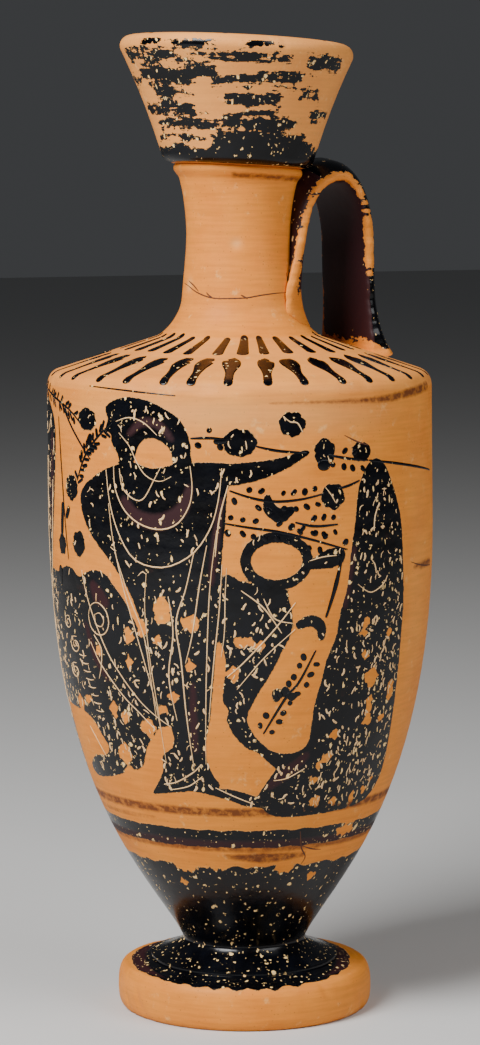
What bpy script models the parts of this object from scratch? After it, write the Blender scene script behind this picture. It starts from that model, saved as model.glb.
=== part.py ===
"""A black-figure lekythos, an oil bottle thrown on the wheel and fired as one piece of clay.

Foot, body, neck and mouth share one turned wall, hollow and open through the neck. A strap handle
on the +X side joins the neck to the shoulder. All of it is one closed solid, in metres, +Z up.
"""

import math

import bmesh
import bpy
import numpy as np
from mathutils import Vector

# Disc foot
FOOT_RADIUS = 0.0357
FOOT_HEIGHT = 0.0122
FOOT_TOP_RADIUS = 0.0329
TREAD_RADIUS = 0.0339
TREAD_WIDTH = 0.0095
RECESS_DEPTH = 0.0042
STEP_RADIUS = 0.0265
STEP_HEIGHT = 0.0008

# Stem and body
STEM_RADIUS = 0.0172
STEM_HEIGHT = 0.0073
BODY_RADIUS = 0.0535
TAPER_HEIGHT = 0.1205
WALL_HEIGHT = 0.0400
EDGE_ROUNDING = 0.0045

# Shoulder and neck
SHOULDER_RISE = 0.0088
NECK_FOOT_RADIUS = 0.0229
COLLAR_RADIUS = 0.0158
NECK_RADIUS = 0.0144
NECK_TOP_RADIUS = 0.0162
NECK_HEIGHT = 0.0428

# Fillet ring and mouth
RING_RADIUS = 0.0177
RING_HEIGHT = 0.0042
MOUTH_BASE_RADIUS = 0.0210
MOUTH_BASE_ROUNDING = 0.0026
MOUTH_RADIUS = 0.0320
MOUTH_HEIGHT = 0.0340
MOUTH_HOLLOW = 0.0006
LIP_ROUNDING = 0.0028

# Walls
BODY_WALL = 0.0042
FLOOR_THICKNESS = 0.0080
MOUTH_WALL = 0.0046
BORE_RADIUS = 0.0105

# Strap handle
STRAP_WIDTH = 0.0250
STRAP_EDGE = 0.0036
STRAP_CROWN = 0.0026
HANDLE_REACH = 0.0203
APEX_REACH = 0.0124
APEX_RISE = 0.0022
ROOT_DROP = 0.0355
ROOT_FLARE = 0.0075
SHOULDER_FLARE = 0.0026

# How truly it stands: the axis leans back a little, and the mouth dips towards the handle
LEAN = math.radians(0.55)
MOUTH_DIP = math.radians(3.0)

# Facets
SEGMENTS = 48
STRAP_STATIONS = 7
STRAP_SIDES = 6

# Heights of the joints between the sections, from the standing surface up
STEM_Z = FOOT_HEIGHT + STEM_HEIGHT
WALL_Z = STEM_Z + TAPER_HEIGHT
EDGE_Z = WALL_Z + WALL_HEIGHT
NECK_Z = EDGE_Z + SHOULDER_RISE
RING_Z = NECK_Z + NECK_HEIGHT
MOUTH_Z = RING_Z + RING_HEIGHT
LIP_Z = MOUTH_Z + MOUTH_HEIGHT

# The shoulder's sweep ends in a collar at this share of the neck's height, the neck is narrowest
# at this one, and this share of it sways with the mouth
COLLAR_SHARE = 0.255
WAIST_SHARE = 0.67
SWAY_SHARE = 0.30

# Black slip covers the foot's top, the stem and this share of the tapering body above it
SLIP_SHARE = 0.22

# How deep the strap's ends are sunk in the walls that they join, as a share of each wall
SUNK_SHARE = 0.35


def curve(start, start_pull, end, end_pull, steps):
    """Points of a cubic curve from start to end, which leaves along start_pull and arrives along
    end_pull; the start point itself is left out, so that curves can follow one another."""
    t = np.linspace(0.0, 1.0, steps + 1)[1:, None]
    leave = 2 * t**3 - 3 * t**2 + 1
    arrive = 3 * t**2 - 2 * t**3
    start, start_pull, end, end_pull = map(np.array, (start, start_pull, end, end_pull))
    bend = (t**3 - 2 * t**2 + t) * start_pull + (t**3 - t**2) * end_pull
    return leave * start + arrive * end + bend


def arc(centre, radius, first, last, steps):
    """Points of a circular arc between two angles in degrees, both ends included."""
    angle = np.radians(np.linspace(first, last, steps + 1))
    return np.array(centre) + radius * np.stack([np.cos(angle), np.sin(angle)], axis=1)


def foot_outline():
    """Underside recess, flat tread, rounded edge, stepped top and the rise to the stem."""
    tread_inner = TREAD_RADIUS - TREAD_WIDTH
    underside = [
        (0.0, RECESS_DEPTH),
        (0.60 * tread_inner, 0.9 * RECESS_DEPTH),
        (0.90 * tread_inner, 0.4 * RECESS_DEPTH),
        (tread_inner, 0.0),
        (TREAD_RADIUS, 0.0),
    ]
    widest = (FOOT_RADIUS, 0.45 * FOOT_HEIGHT)
    edge = curve(
        (TREAD_RADIUS, 0.0), (2.4 * (FOOT_RADIUS - TREAD_RADIUS), 0.1 * FOOT_HEIGHT),
        widest, (0.0, 0.7 * FOOT_HEIGHT), 3)
    top = curve(
        widest, (0.0, 0.9 * FOOT_HEIGHT),
        (FOOT_TOP_RADIUS, FOOT_HEIGHT), (-2.4 * (FOOT_RADIUS - FOOT_TOP_RADIUS), 0.0), 3)
    step_z = FOOT_HEIGHT + 0.20 * STEM_HEIGHT
    step = [(STEP_RADIUS, step_z), (STEP_RADIUS, step_z + STEP_HEIGHT)]
    rise = curve(
        step[1], (0.5 * (STEM_RADIUS - STEP_RADIUS), 0.05 * STEM_HEIGHT),
        (STEM_RADIUS, STEM_Z), (0.0, 0.9 * STEM_HEIGHT), 4)
    return np.concatenate([underside, edge, top, step, rise])


def body_outline():
    """The tapering lower body and the upright wall, up to the start of the shoulder's edge."""
    taper = curve(
        (STEM_RADIUS, STEM_Z), (0.80 * (BODY_RADIUS - STEM_RADIUS), 0.45 * TAPER_HEIGHT),
        (BODY_RADIUS, WALL_Z), (0.0, 2.0 * TAPER_HEIGHT), 12)
    return np.concatenate([taper, [(BODY_RADIUS, EDGE_Z - EDGE_ROUNDING)]])


def shoulder_fall():
    """How far the shoulder falls for each unit that it runs outward."""
    return SHOULDER_RISE / (BODY_RADIUS - EDGE_ROUNDING - NECK_FOOT_RADIUS)


def shoulder_outline():
    """The rounded edge, the straight slope of the shoulder and the sweep up into the neck."""
    centre = (BODY_RADIUS - EDGE_ROUNDING, EDGE_Z - EDGE_ROUNDING)
    edge = arc(centre, EDGE_ROUNDING, 0.0, 90.0 - math.degrees(math.atan(shoulder_fall())), 4)[1:]
    foot = np.array((NECK_FOOT_RADIUS, NECK_Z))
    middle = 0.5 * (edge[-1] + foot)
    inward = NECK_FOOT_RADIUS - COLLAR_RADIUS
    sweep = curve(
        foot, (-0.85 * inward, 0.85 * inward * shoulder_fall()),
        (COLLAR_RADIUS, NECK_Z + COLLAR_SHARE * NECK_HEIGHT),
        (-0.10 * inward, 1.45 * COLLAR_SHARE * NECK_HEIGHT), 5)
    return np.concatenate([edge, [middle, foot], sweep])


def neck_outline():
    """The neck narrows from its collar to the waist and widens again below the ring."""
    waist = (NECK_RADIUS, NECK_Z + WAIST_SHARE * NECK_HEIGHT)
    lower = curve(
        (COLLAR_RADIUS, NECK_Z + COLLAR_SHARE * NECK_HEIGHT),
        (0.8 * (NECK_RADIUS - COLLAR_RADIUS), 0.4 * NECK_HEIGHT),
        waist, (0.0, 0.4 * NECK_HEIGHT), 3)
    upper = curve(
        waist, (0.0, 0.33 * NECK_HEIGHT),
        (NECK_TOP_RADIUS, RING_Z), (1.7 * (NECK_TOP_RADIUS - NECK_RADIUS), 0.23 * NECK_HEIGHT), 3)
    return np.concatenate([lower, upper])


def mouth_outline():
    """The fillet ring, the rounded base, the flaring side and the rolled lip."""
    around = np.radians(np.linspace(-60.0, 60.0, 4))
    ring = np.stack([
        NECK_TOP_RADIUS + (RING_RADIUS - NECK_TOP_RADIUS) * np.cos(around),
        RING_Z + 0.5 * RING_HEIGHT * (1 + np.sin(around))], axis=1)
    base_centre = (MOUTH_BASE_RADIUS - MOUTH_BASE_ROUNDING, MOUTH_Z + MOUTH_BASE_ROUNDING)
    base = arc(base_centre, MOUTH_BASE_ROUNDING, -80.0, -10.0, 3)
    lip_centre = (MOUTH_RADIUS - LIP_ROUNDING, LIP_Z - LIP_ROUNDING)
    lip = arc(lip_centre, LIP_ROUNDING, -20.0, 90.0, 4)
    run = lip[0] - base[-1]
    inward = np.array((-run[1], run[0])) / np.linalg.norm(run)
    side = [base[-1] + run * share + inward * MOUTH_HOLLOW * 4 * share * (1 - share)
            for share in (0.25, 0.5, 0.75)]
    return np.concatenate([ring, base, side, lip])


def inside_outline(outside):
    """From the lip's inner edge down through the mouth, the bore and the body to the floor."""
    lip = (MOUTH_RADIUS - MOUTH_WALL, LIP_Z)
    gather = lip[0] - BORE_RADIUS
    funnel = curve(
        lip, (-0.35 * gather, -1.1 * MOUTH_HEIGHT),
        (BORE_RADIUS, MOUTH_Z + 0.5 * MOUTH_WALL), (-0.3 * gather, -1.2 * MOUTH_HEIGHT), 5)
    bore = np.array((BORE_RADIUS, NECK_Z + 0.26 * NECK_HEIGHT))
    fall = np.array((1.0, -shoulder_fall())) / math.hypot(1.0, shoulder_fall())
    down = np.array((fall[1], -fall[0])) * BODY_WALL
    crest = np.array((NECK_FOOT_RADIUS, NECK_Z)) + down + fall * 0.25 * NECK_FOOT_RADIUS
    throat = curve(bore, (0.0, -0.3 * NECK_HEIGHT), crest, fall * 1.2 * NECK_FOOT_RADIUS, 4)
    edge = (BODY_RADIUS - BODY_WALL, EDGE_Z - EDGE_ROUNDING - BODY_WALL)
    crown = curve(
        crest, fall * 0.8 * (edge[0] - crest[0]), edge, (0.0, -2.2 * (EDGE_ROUNDING + BODY_WALL)), 4)
    along = np.gradient(outside, axis=0)
    outward = np.stack([along[:, 1], -along[:, 0]], axis=1) / np.linalg.norm(along, axis=1)[:, None]
    wall = (outside - outward * BODY_WALL)[-2::-1]
    floor_z = STEM_Z + FLOOR_THICKNESS
    wall = wall[wall[:, 1] > floor_z + BODY_WALL]
    basin = curve(wall[-1], (wall[-1] - wall[-2]) * 0.8, (0.0, floor_z), (-wall[-1][0], 0.0), 3)
    return np.concatenate([[lip], funnel, [bore], throat, crown, wall, basin])


def outline():
    """The whole half section, from the middle of the underside up, over and down to the floor."""
    body = body_outline()
    outside = [foot_outline(), body, shoulder_outline(), neck_outline(), mouth_outline()]
    return np.concatenate(outside + [inside_outline(body)])


def lean_of(z):
    """How far the axis has moved along X at a height; the upright wall stays over the origin."""
    return math.tan(LEAN) * (0.5 * (WALL_Z + EDGE_Z) - z)


def set_askew(point):
    """Dips the mouth and the top of the neck towards the handle, and leans the whole axis."""
    sway = SWAY_SHARE * NECK_HEIGHT
    share = min(max((point.z - RING_Z + sway) / sway, 0.0), 1.0)
    z = point.z - math.tan(MOUTH_DIP) * share * share * (3 - 2 * share) * point.x
    return Vector((point.x + lean_of(z), point.y, z))


def material(name, colour, roughness):
    """A plain finish with one colour (linear) and one roughness; fired clay is no metal."""
    made = bpy.data.materials.new(name)
    made.use_nodes = True
    shader = made.node_tree.nodes["Principled BSDF"]
    shader.inputs["Base Color"].default_value = (*colour, 1.0)
    shader.inputs["Roughness"].default_value = roughness
    shader.inputs["Metallic"].default_value = 0.0
    made.diffuse_color = (*colour, 1.0)
    return made


def slip_zone(face):
    """1 where black slip covers the clay: foot top and lower body, and the mouth in and out."""
    middle = face.calc_center_median()
    outward = middle.x * face.normal.x + middle.y * face.normal.y > 0
    upward = face.normal.z > math.cos(math.radians(60.0))
    in_reach = 0.8 * FOOT_HEIGHT < middle.z < STEM_Z + SLIP_SHARE * TAPER_HEIGHT
    hidden_floor = math.hypot(middle.x, middle.y) < 0.9 * STEM_RADIUS
    lower = in_reach and (outward or upward) and not hidden_floor
    mouth = MOUTH_Z < middle.z < LIP_Z - 0.5 * LIP_ROUNDING
    return int(lower or mouth)


def turned_vessel(finishes):
    """The outline spun round the axis into one closed wall, then set a little askew."""
    shape = bmesh.new()
    points = [shape.verts.new((radius, 0.0, z)) for radius, z in outline()]
    chain = [shape.edges.new(pair) for pair in zip(points, points[1:])]
    bmesh.ops.spin(
        shape, geom=points + chain, cent=(0, 0, 0), axis=(0, 0, 1),
        angle=math.tau, steps=SEGMENTS, use_merge=True)
    bmesh.ops.remove_doubles(shape, verts=shape.verts, dist=1e-6)
    bmesh.ops.recalc_face_normals(shape, faces=shape.faces)
    for face in shape.faces:
        face.material_index = slip_zone(face)
    for vertex in shape.verts:
        vertex.co = set_askew(vertex.co)
    mesh = bpy.data.meshes.new("lekythos")
    shape.to_mesh(mesh)
    shape.free()
    for finish in finishes:
        mesh.materials.append(finish)
    vessel = bpy.data.objects.new("lekythos", mesh)
    bpy.context.collection.objects.link(vessel)
    return vessel


def handle_path():
    """Centre line of the strap in (radius, height): up off the neck, over, and down to the
    shoulder. It starts and ends inside the walls."""
    neck_sunk = SUNK_SHARE * (NECK_RADIUS - BORE_RADIUS)
    root = (NECK_RADIUS + 0.5 * STRAP_EDGE - neck_sunk, RING_Z - ROOT_DROP)
    apex = (NECK_RADIUS + APEX_REACH, MOUTH_Z + APEX_RISE - 0.5 * STRAP_EDGE - STRAP_CROWN)
    reach = NECK_RADIUS + HANDLE_REACH
    foot_radius = reach + SHOULDER_FLARE
    foot_z = NECK_Z - shoulder_fall() * (foot_radius - NECK_FOOT_RADIUS) - SUNK_SHARE * BODY_WALL
    drop = apex[1] - foot_z
    side = (reach, apex[1] - 0.38 * drop)
    rise = curve(
        root, (0.0, 1.2 * (apex[1] - root[1])), apex, (3.0 * APEX_REACH, 0.0), STRAP_STATIONS + 2)
    over = curve(
        apex, (1.7 * (reach - apex[0]), 0.0), side, (0.0, -0.62 * drop), STRAP_STATIONS + 1)
    fall = curve(
        side, (0.0, -0.6 * drop),
        (foot_radius, foot_z), (2.5 * SHOULDER_FLARE, -0.4 * drop), STRAP_STATIONS - 2)
    return np.concatenate([[root], rise, over, fall])


def strap_section(width, crown, spread):
    """One cross-section as (across, outward) points: a flat inner face and a crowned outer one,
    which stands further out by the spread."""
    across = 0.5 * width * np.linspace(-1.0, 1.0, STRAP_SIDES + 1)
    bulge = 0.5 * STRAP_EDGE + spread + crown * (1 - (2 * across / width) ** 2)
    outer = np.stack([across, bulge], axis=1)
    inner = np.stack([across[::-1], np.full_like(across, -0.5 * STRAP_EDGE)], axis=1)
    return np.concatenate([outer, inner])


def bent_place(radius, across, z, wrap):
    """A point of the strap in space. Where wrap is 1 the strap is bent round the axis of the
    vessel, and where it is near 0 it is straight across."""
    bend = radius / max(wrap, 0.001)
    swing = across / bend
    x = radius - bend + bend * math.cos(swing) + lean_of(z)
    return Vector((x, bend * math.sin(swing), z))


def strap_handle(finish):
    """The strap as one closed skin through its sections, capped at both sunk ends. It lies flat
    and wide against the neck, stands straight over the top and spreads on the shoulder."""
    path = handle_path()
    directions = np.gradient(path, axis=0)
    directions /= np.linalg.norm(directions, axis=1)[:, None]
    apex = int(path[:, 1].argmax())
    last = len(path) - 1
    shape = bmesh.new()
    rings = []
    for station, ((radius, z), (run, climb)) in enumerate(zip(path, directions)):
        clinging = max(0.0, 1.0 - station / apex)
        spreading = max(0.0, (station - last + 4) / 4)
        spread = SHOULDER_FLARE * spreading**2
        width = STRAP_WIDTH + 2 * ROOT_FLARE * clinging**2 + 2 * spread
        section = strap_section(width, STRAP_CROWN * (1 - clinging), spread)
        rings.append([
            shape.verts.new(bent_place(radius - climb * lift, across, z + run * lift, clinging))
            for across, lift in section])
    for ring, following in zip(rings, rings[1:]):
        for corner in range(len(ring)):
            after = (corner + 1) % len(ring)
            shape.faces.new((ring[corner], ring[after], following[after], following[corner]))
    shape.faces.new(rings[0][::-1])
    shape.faces.new(rings[-1])
    bmesh.ops.recalc_face_normals(shape, faces=shape.faces)
    mesh = bpy.data.meshes.new("strap_handle")
    shape.to_mesh(mesh)
    shape.free()
    mesh.materials.append(finish)
    strap = bpy.data.objects.new("strap_handle", mesh)
    bpy.context.collection.objects.link(strap)
    strap.hide_render = True
    strap.display_type = "WIRE"
    return strap


def main():
    for old in list(bpy.data.objects):
        bpy.data.objects.remove(old)
    clay = material("fired_clay", (0.66, 0.30, 0.09), 0.62)
    black = material("black_slip", (0.004, 0.004, 0.006), 0.28)
    vessel = turned_vessel([clay, black])
    joined = vessel.modifiers.new("handle_joined", "BOOLEAN")
    joined.operation = "UNION"
    joined.solver = "EXACT"
    joined.material_mode = "TRANSFER"
    joined.object = strap_handle(black)
    vessel.data.shade_smooth()
    vessel.data.set_sharp_from_angle(angle=math.radians(50.0))


main()
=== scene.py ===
# %% [markdown]
# # A black-figure lekythos, from bare frame to painted pot
#
# The frame holds the vessel as one faceted solid. This lesson gives it the surface of the real
# thing: orange clay thrown on a wheel, a picture in glossy black slip with lines scratched through
# it, and the flaking, chips and cracks of some twenty-five centuries. All sizes below are in
# millimetres, as a potter would measure them, and turn into metres only when a mesh is made.

import math

import bpy
import numpy as np
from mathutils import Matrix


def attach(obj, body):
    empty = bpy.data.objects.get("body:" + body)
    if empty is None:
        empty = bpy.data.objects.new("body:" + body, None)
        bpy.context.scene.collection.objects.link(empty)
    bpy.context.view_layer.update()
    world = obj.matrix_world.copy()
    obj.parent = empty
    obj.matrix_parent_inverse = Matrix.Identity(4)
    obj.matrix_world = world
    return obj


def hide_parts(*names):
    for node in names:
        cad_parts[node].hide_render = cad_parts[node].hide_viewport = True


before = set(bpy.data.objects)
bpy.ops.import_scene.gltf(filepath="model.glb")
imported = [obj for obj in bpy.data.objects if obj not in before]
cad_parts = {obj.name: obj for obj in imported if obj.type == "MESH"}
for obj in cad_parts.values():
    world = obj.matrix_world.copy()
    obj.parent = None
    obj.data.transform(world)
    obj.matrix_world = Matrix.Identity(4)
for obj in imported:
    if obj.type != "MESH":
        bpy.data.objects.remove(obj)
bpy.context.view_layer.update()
MM = 0.001

# %% [markdown]
# ## The camera comes first
#
# The picture was taken a little above the middle of the vessel, from about 0.9 m, with a long
# lens. How flat the ellipses of the lip, the bands and the foot are gives the height and the
# pitch. The handle lies 30 degrees behind the picture's plane on the right, so in the frame, where
# the handle is on +X, the camera stands at an azimuth of -120 degrees.

# %% Camera
FRAME_TALL = 1045
FOCAL_IN_PIXELS = 3300
FRONT = math.radians(-120.0)
CAMERA_AWAY = 916.9
CAMERA_HEIGHT = 233.1
CAMERA_PITCH = math.radians(6.011)


def make_camera():
    """A camera on the circle round the axis at the front azimuth, turned back to face the axis and
    tipped down by the pitch. The focal length is given against the frame's tall side."""
    data = bpy.data.cameras.new("camera")
    data.sensor_fit = "VERTICAL"
    data.sensor_height = 36.0
    data.lens = data.sensor_height * FOCAL_IN_PIXELS / FRAME_TALL
    data.clip_start = 0.05
    camera = bpy.data.objects.new("camera", data)
    camera.location = (
        CAMERA_AWAY * math.cos(FRONT) * MM, CAMERA_AWAY * math.sin(FRONT) * MM, CAMERA_HEIGHT * MM)
    camera.rotation_euler = (math.radians(90.0) - CAMERA_PITCH, 0.0, FRONT + math.radians(90.0))
    bpy.context.collection.objects.link(camera)
    bpy.context.scene.camera = camera
    return camera


camera = make_camera()
print("lens in mm", round(camera.data.lens, 1))

# %% [markdown]
# ## The turned outline
#
# A thrown pot is one outline spun round an axis, so the outline is all that has to be drawn. It
# runs from the middle of the underside, out over the foot, up the body, neck and mouth, over the
# lip and down the inside to the floor. Each stretch is a cubic curve or an arc between named
# sizes, the same ones that the solid was built from, and gets its own spacing of rows: close where
# the picture is painted, wide where nothing is.

# %% Sizes of the vessel
FOOT_RADIUS, FOOT_HEIGHT, FOOT_TOP_RADIUS = 35.7, 12.2, 32.9
TREAD_RADIUS, TREAD_WIDTH, RECESS_DEPTH = 33.9, 9.5, 4.2
STEP_RADIUS, STEP_HEIGHT = 26.5, 0.8
STEM_RADIUS, STEM_HEIGHT = 17.2, 7.3
BODY_RADIUS, TAPER_HEIGHT, WALL_HEIGHT, EDGE_ROUNDING = 53.5, 120.5, 40.0, 4.5
SHOULDER_RISE, NECK_FOOT_RADIUS, COLLAR_RADIUS = 8.8, 22.9, 15.8
NECK_RADIUS, NECK_TOP_RADIUS, NECK_HEIGHT = 14.4, 16.2, 42.8
COLLAR_SHARE, WAIST_SHARE = 0.255, 0.67
RING_RADIUS, RING_HEIGHT = 17.7, 4.2
MOUTH_BASE_RADIUS, MOUTH_BASE_ROUNDING = 21.0, 2.6
MOUTH_RADIUS, MOUTH_HEIGHT, MOUTH_HOLLOW, LIP_ROUNDING = 32.0, 34.0, 0.6, 2.8
BODY_WALL, FLOOR_THICKNESS, MOUTH_WALL, BORE_RADIUS = 4.2, 8.0, 4.6, 10.5

STEM_Z = FOOT_HEIGHT + STEM_HEIGHT
WALL_Z = STEM_Z + TAPER_HEIGHT
EDGE_Z = WALL_Z + WALL_HEIGHT
NECK_Z = EDGE_Z + SHOULDER_RISE
RING_Z = NECK_Z + NECK_HEIGHT
MOUTH_Z = RING_Z + RING_HEIGHT
LIP_Z = MOUTH_Z + MOUTH_HEIGHT
SHOULDER_FALL = SHOULDER_RISE / (BODY_RADIUS - EDGE_ROUNDING - NECK_FOOT_RADIUS)
print("heights of the joints in mm", STEM_Z, WALL_Z, EDGE_Z, NECK_Z, RING_Z, MOUTH_Z, LIP_Z)


# %% Curves and arcs
def curve(start, start_pull, end, end_pull, steps=24):
    """Points p(t) = (2t^3 - 3t^2 + 1) start + (t^3 - 2t^2 + t) start_pull
    + (3t^2 - 2t^3) end + (t^3 - t^2) end_pull, for t from 0 to 1."""
    t = np.linspace(0.0, 1.0, steps + 1)[:, None]
    start, start_pull, end, end_pull = map(np.array, (start, start_pull, end, end_pull))
    leave, arrive = 2 * t**3 - 3 * t**2 + 1, 3 * t**2 - 2 * t**3
    return leave * start + arrive * end + (t**3 - 2 * t**2 + t) * start_pull + (t**3 - t**2) * end_pull


def arc(centre, radius, first, last, steps=10):
    """Points centre + radius (cos a, sin a), for a between two angles in degrees."""
    angle = np.radians(np.linspace(first, last, steps + 1))
    return np.array(centre) + radius * np.stack([np.cos(angle), np.sin(angle)], axis=1)


def paced(points, pace):
    """The same line with its points set evenly along it, about one pace apart."""
    run = np.concatenate([[0.0], np.cumsum(np.linalg.norm(np.diff(points, axis=0), axis=1))])
    even = np.linspace(0.0, run[-1], max(1, round(run[-1] / pace)) + 1)
    return np.stack([np.interp(even, run, points[:, k]) for k in (0, 1)], axis=1)


# %% Outside, from the tread to the lip
def foot_stretches():
    """The rounded side of the foot, its flat top, a small turned step and the rise to the stem."""
    widest = (FOOT_RADIUS, 0.45 * FOOT_HEIGHT)
    side = np.concatenate([
        curve((TREAD_RADIUS, 0.0), (2.4 * (FOOT_RADIUS - TREAD_RADIUS), 0.1 * FOOT_HEIGHT),
              widest, (0.0, 0.7 * FOOT_HEIGHT)),
        curve(widest, (0.0, 0.9 * FOOT_HEIGHT), (FOOT_TOP_RADIUS, FOOT_HEIGHT),
              (-2.4 * (FOOT_RADIUS - FOOT_TOP_RADIUS), 0.0))[1:]])
    step_z = FOOT_HEIGHT + 0.20 * STEM_HEIGHT
    top = np.array([side[-1], (STEP_RADIUS, step_z)])
    step = np.array([top[-1], (STEP_RADIUS - 0.25, step_z + STEP_HEIGHT)])
    rise = curve(step[-1], (0.5 * (STEM_RADIUS - STEP_RADIUS), 0.05 * STEM_HEIGHT),
                 (STEM_RADIUS, STEM_Z), (0.0, 0.9 * STEM_HEIGHT))
    return side, top, step, rise


def body_curve():
    """One long curve from the stem to the upright wall."""
    return curve((STEM_RADIUS, STEM_Z), (0.80 * (BODY_RADIUS - STEM_RADIUS), 0.45 * TAPER_HEIGHT),
                 (BODY_RADIUS, WALL_Z), (0.0, 2.0 * TAPER_HEIGHT), 120)


def shoulder_stretches():
    """The rounded edge, the straight slope, the sweep up to a collar and the neck's waist."""
    centre = (BODY_RADIUS - EDGE_ROUNDING, EDGE_Z - EDGE_ROUNDING)
    edge = arc(centre, EDGE_ROUNDING, 0.0, 90.0 - math.degrees(math.atan(SHOULDER_FALL)))
    slope = np.array([edge[-1], (NECK_FOOT_RADIUS, NECK_Z)])
    inward = NECK_FOOT_RADIUS - COLLAR_RADIUS
    collar = (COLLAR_RADIUS, NECK_Z + COLLAR_SHARE * NECK_HEIGHT)
    waist = (NECK_RADIUS, NECK_Z + WAIST_SHARE * NECK_HEIGHT)
    sweep = curve(slope[-1], (-0.85 * inward, 0.85 * inward * SHOULDER_FALL), collar,
                  (-0.10 * inward, 1.45 * COLLAR_SHARE * NECK_HEIGHT))
    lower = curve(collar, (0.8 * (NECK_RADIUS - COLLAR_RADIUS), 0.4 * NECK_HEIGHT), waist,
                  (0.0, 0.4 * NECK_HEIGHT))
    upper = curve(waist, (0.0, 0.33 * NECK_HEIGHT), (NECK_TOP_RADIUS, RING_Z),
                  (1.7 * (NECK_TOP_RADIUS - NECK_RADIUS), 0.23 * NECK_HEIGHT))
    return edge, slope, sweep, np.concatenate([lower, upper[1:]])


def mouth_stretches():
    """The ring widens upward like a small cavetto and turns in again under the mouth's base."""
    crest = (RING_RADIUS, RING_Z + 0.55 * RING_HEIGHT)
    ring = np.concatenate([
        curve((NECK_TOP_RADIUS, RING_Z), (0.4, 1.6), crest, (0.7, 2.2)),
        curve(crest, (0.3, 1.4), (RING_RADIUS - 0.5, MOUTH_Z - 0.3), (-1.4, 0.8))[1:]])
    base = arc((MOUTH_BASE_RADIUS - MOUTH_BASE_ROUNDING, MOUTH_Z + MOUTH_BASE_ROUNDING),
               MOUTH_BASE_ROUNDING, -80.0, -10.0)
    lip = arc((MOUTH_RADIUS - LIP_ROUNDING, LIP_Z - LIP_ROUNDING), LIP_ROUNDING, -20.0, 90.0)
    share = np.linspace(0.0, 1.0, 12)[:, None]
    run = lip[0] - base[-1]
    inward = np.array((-run[1], run[0])) / np.linalg.norm(run)
    side = base[-1] + run * share + inward * MOUTH_HOLLOW * 4 * share * (1 - share)
    return ring, base, side, lip


# %% Inside, from the lip down to the floor
def inside_stretches(outside):
    """The mouth's funnel, the bore, the throat under the shoulder, the wall one thickness in from
    the outside, and the rounded floor."""
    lip = (MOUTH_RADIUS - MOUTH_WALL, LIP_Z)
    gather = lip[0] - BORE_RADIUS
    funnel = curve(lip, (-0.35 * gather, -1.1 * MOUTH_HEIGHT),
                   (BORE_RADIUS, MOUTH_Z + 0.5 * MOUTH_WALL), (-0.3 * gather, -1.2 * MOUTH_HEIGHT))
    bore = np.array([funnel[-1], (BORE_RADIUS, NECK_Z + 0.26 * NECK_HEIGHT)])
    fall = np.array((1.0, -SHOULDER_FALL)) / math.hypot(1.0, SHOULDER_FALL)
    down = np.array((fall[1], -fall[0])) * BODY_WALL
    crest = np.array((NECK_FOOT_RADIUS, NECK_Z)) + down + fall * 0.25 * NECK_FOOT_RADIUS
    throat = curve(bore[-1], (0.0, -0.3 * NECK_HEIGHT), crest, fall * 1.2 * NECK_FOOT_RADIUS)
    edge = (BODY_RADIUS - BODY_WALL, EDGE_Z - EDGE_ROUNDING - BODY_WALL)
    crown = curve(crest, fall * 0.8 * (edge[0] - crest[0]), edge,
                  (0.0, -2.2 * (EDGE_ROUNDING + BODY_WALL)))
    along = np.gradient(outside, axis=0)
    outward = np.stack([along[:, 1], -along[:, 0]], axis=1) / np.linalg.norm(along, axis=1)[:, None]
    floor_z = STEM_Z + FLOOR_THICKNESS
    wall = (outside - outward * BODY_WALL)[::-1]
    wall = wall[wall[:, 1] > floor_z + BODY_WALL]
    wall = np.concatenate([[edge], wall])
    basin = curve(wall[-1], (wall[-1] - wall[-2]) * 6.0, (0.0, floor_z), (-wall[-1][0], 0.0))
    return funnel, bore, throat, crown, wall, basin


# %% All stretches, each at its own pace
PICTURE_FOOT = 46.0


def stretches():
    """Name, points and pace in mm of every stretch of the outline, in order."""
    recess = np.array([(0.0, RECESS_DEPTH), (0.60 * (TREAD_RADIUS - TREAD_WIDTH), 0.9 * RECESS_DEPTH),
                       (0.90 * (TREAD_RADIUS - TREAD_WIDTH), 0.4 * RECESS_DEPTH),
                       (TREAD_RADIUS - TREAD_WIDTH, 0.0), (TREAD_RADIUS, 0.0)])
    side, top, step, rise = foot_stretches()
    body = body_curve()
    low = body[:, 1] <= PICTURE_FOOT
    picture = np.concatenate([body[~low], [(BODY_RADIUS, EDGE_Z - EDGE_ROUNDING)]])
    edge, slope, sweep, neck = shoulder_stretches()
    ring, base, mouth, lip = mouth_stretches()
    funnel, bore, throat, crown, wall, basin = inside_stretches(body)
    return [
        ("underside", recess, 3.0), ("foot_side", side, 0.8), ("foot_top", top, 0.55),
        ("foot_step", step, 0.4), ("foot_rise", rise, 0.8), ("stem", body[low], 1.4),
        ("picture", picture, 0.95), ("edge", edge, 0.7), ("shoulder", slope, 1.6),
        ("sweep", sweep, 1.3), ("neck", neck, 1.15), ("ring", ring, 0.5), ("base", base, 0.6),
        ("mouth", mouth, 1.2), ("lip", lip, 0.7), ("funnel", funnel, 3.0), ("bore", bore, 12.0),
        ("throat", throat, 6.0), ("crown", crown, 6.0), ("wall", wall, 12.0), ("basin", basin, 8.0)]


names, parts = [], []
for name, points, pace in stretches():
    rows = paced(points, pace)
    if parts and np.allclose(rows[0], parts[-1][-1], atol=1e-6):
        rows = rows[1:]
    names += [name] * len(rows)
    parts.append(rows)
OUTLINE = np.concatenate(parts)
STRETCH = np.array(names)
RUN = np.concatenate([[0.0], np.cumsum(np.linalg.norm(np.diff(OUTLINE, axis=0), axis=1))])
print(len(OUTLINE), "rows over", round(RUN[-1]), "mm of outline")

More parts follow.
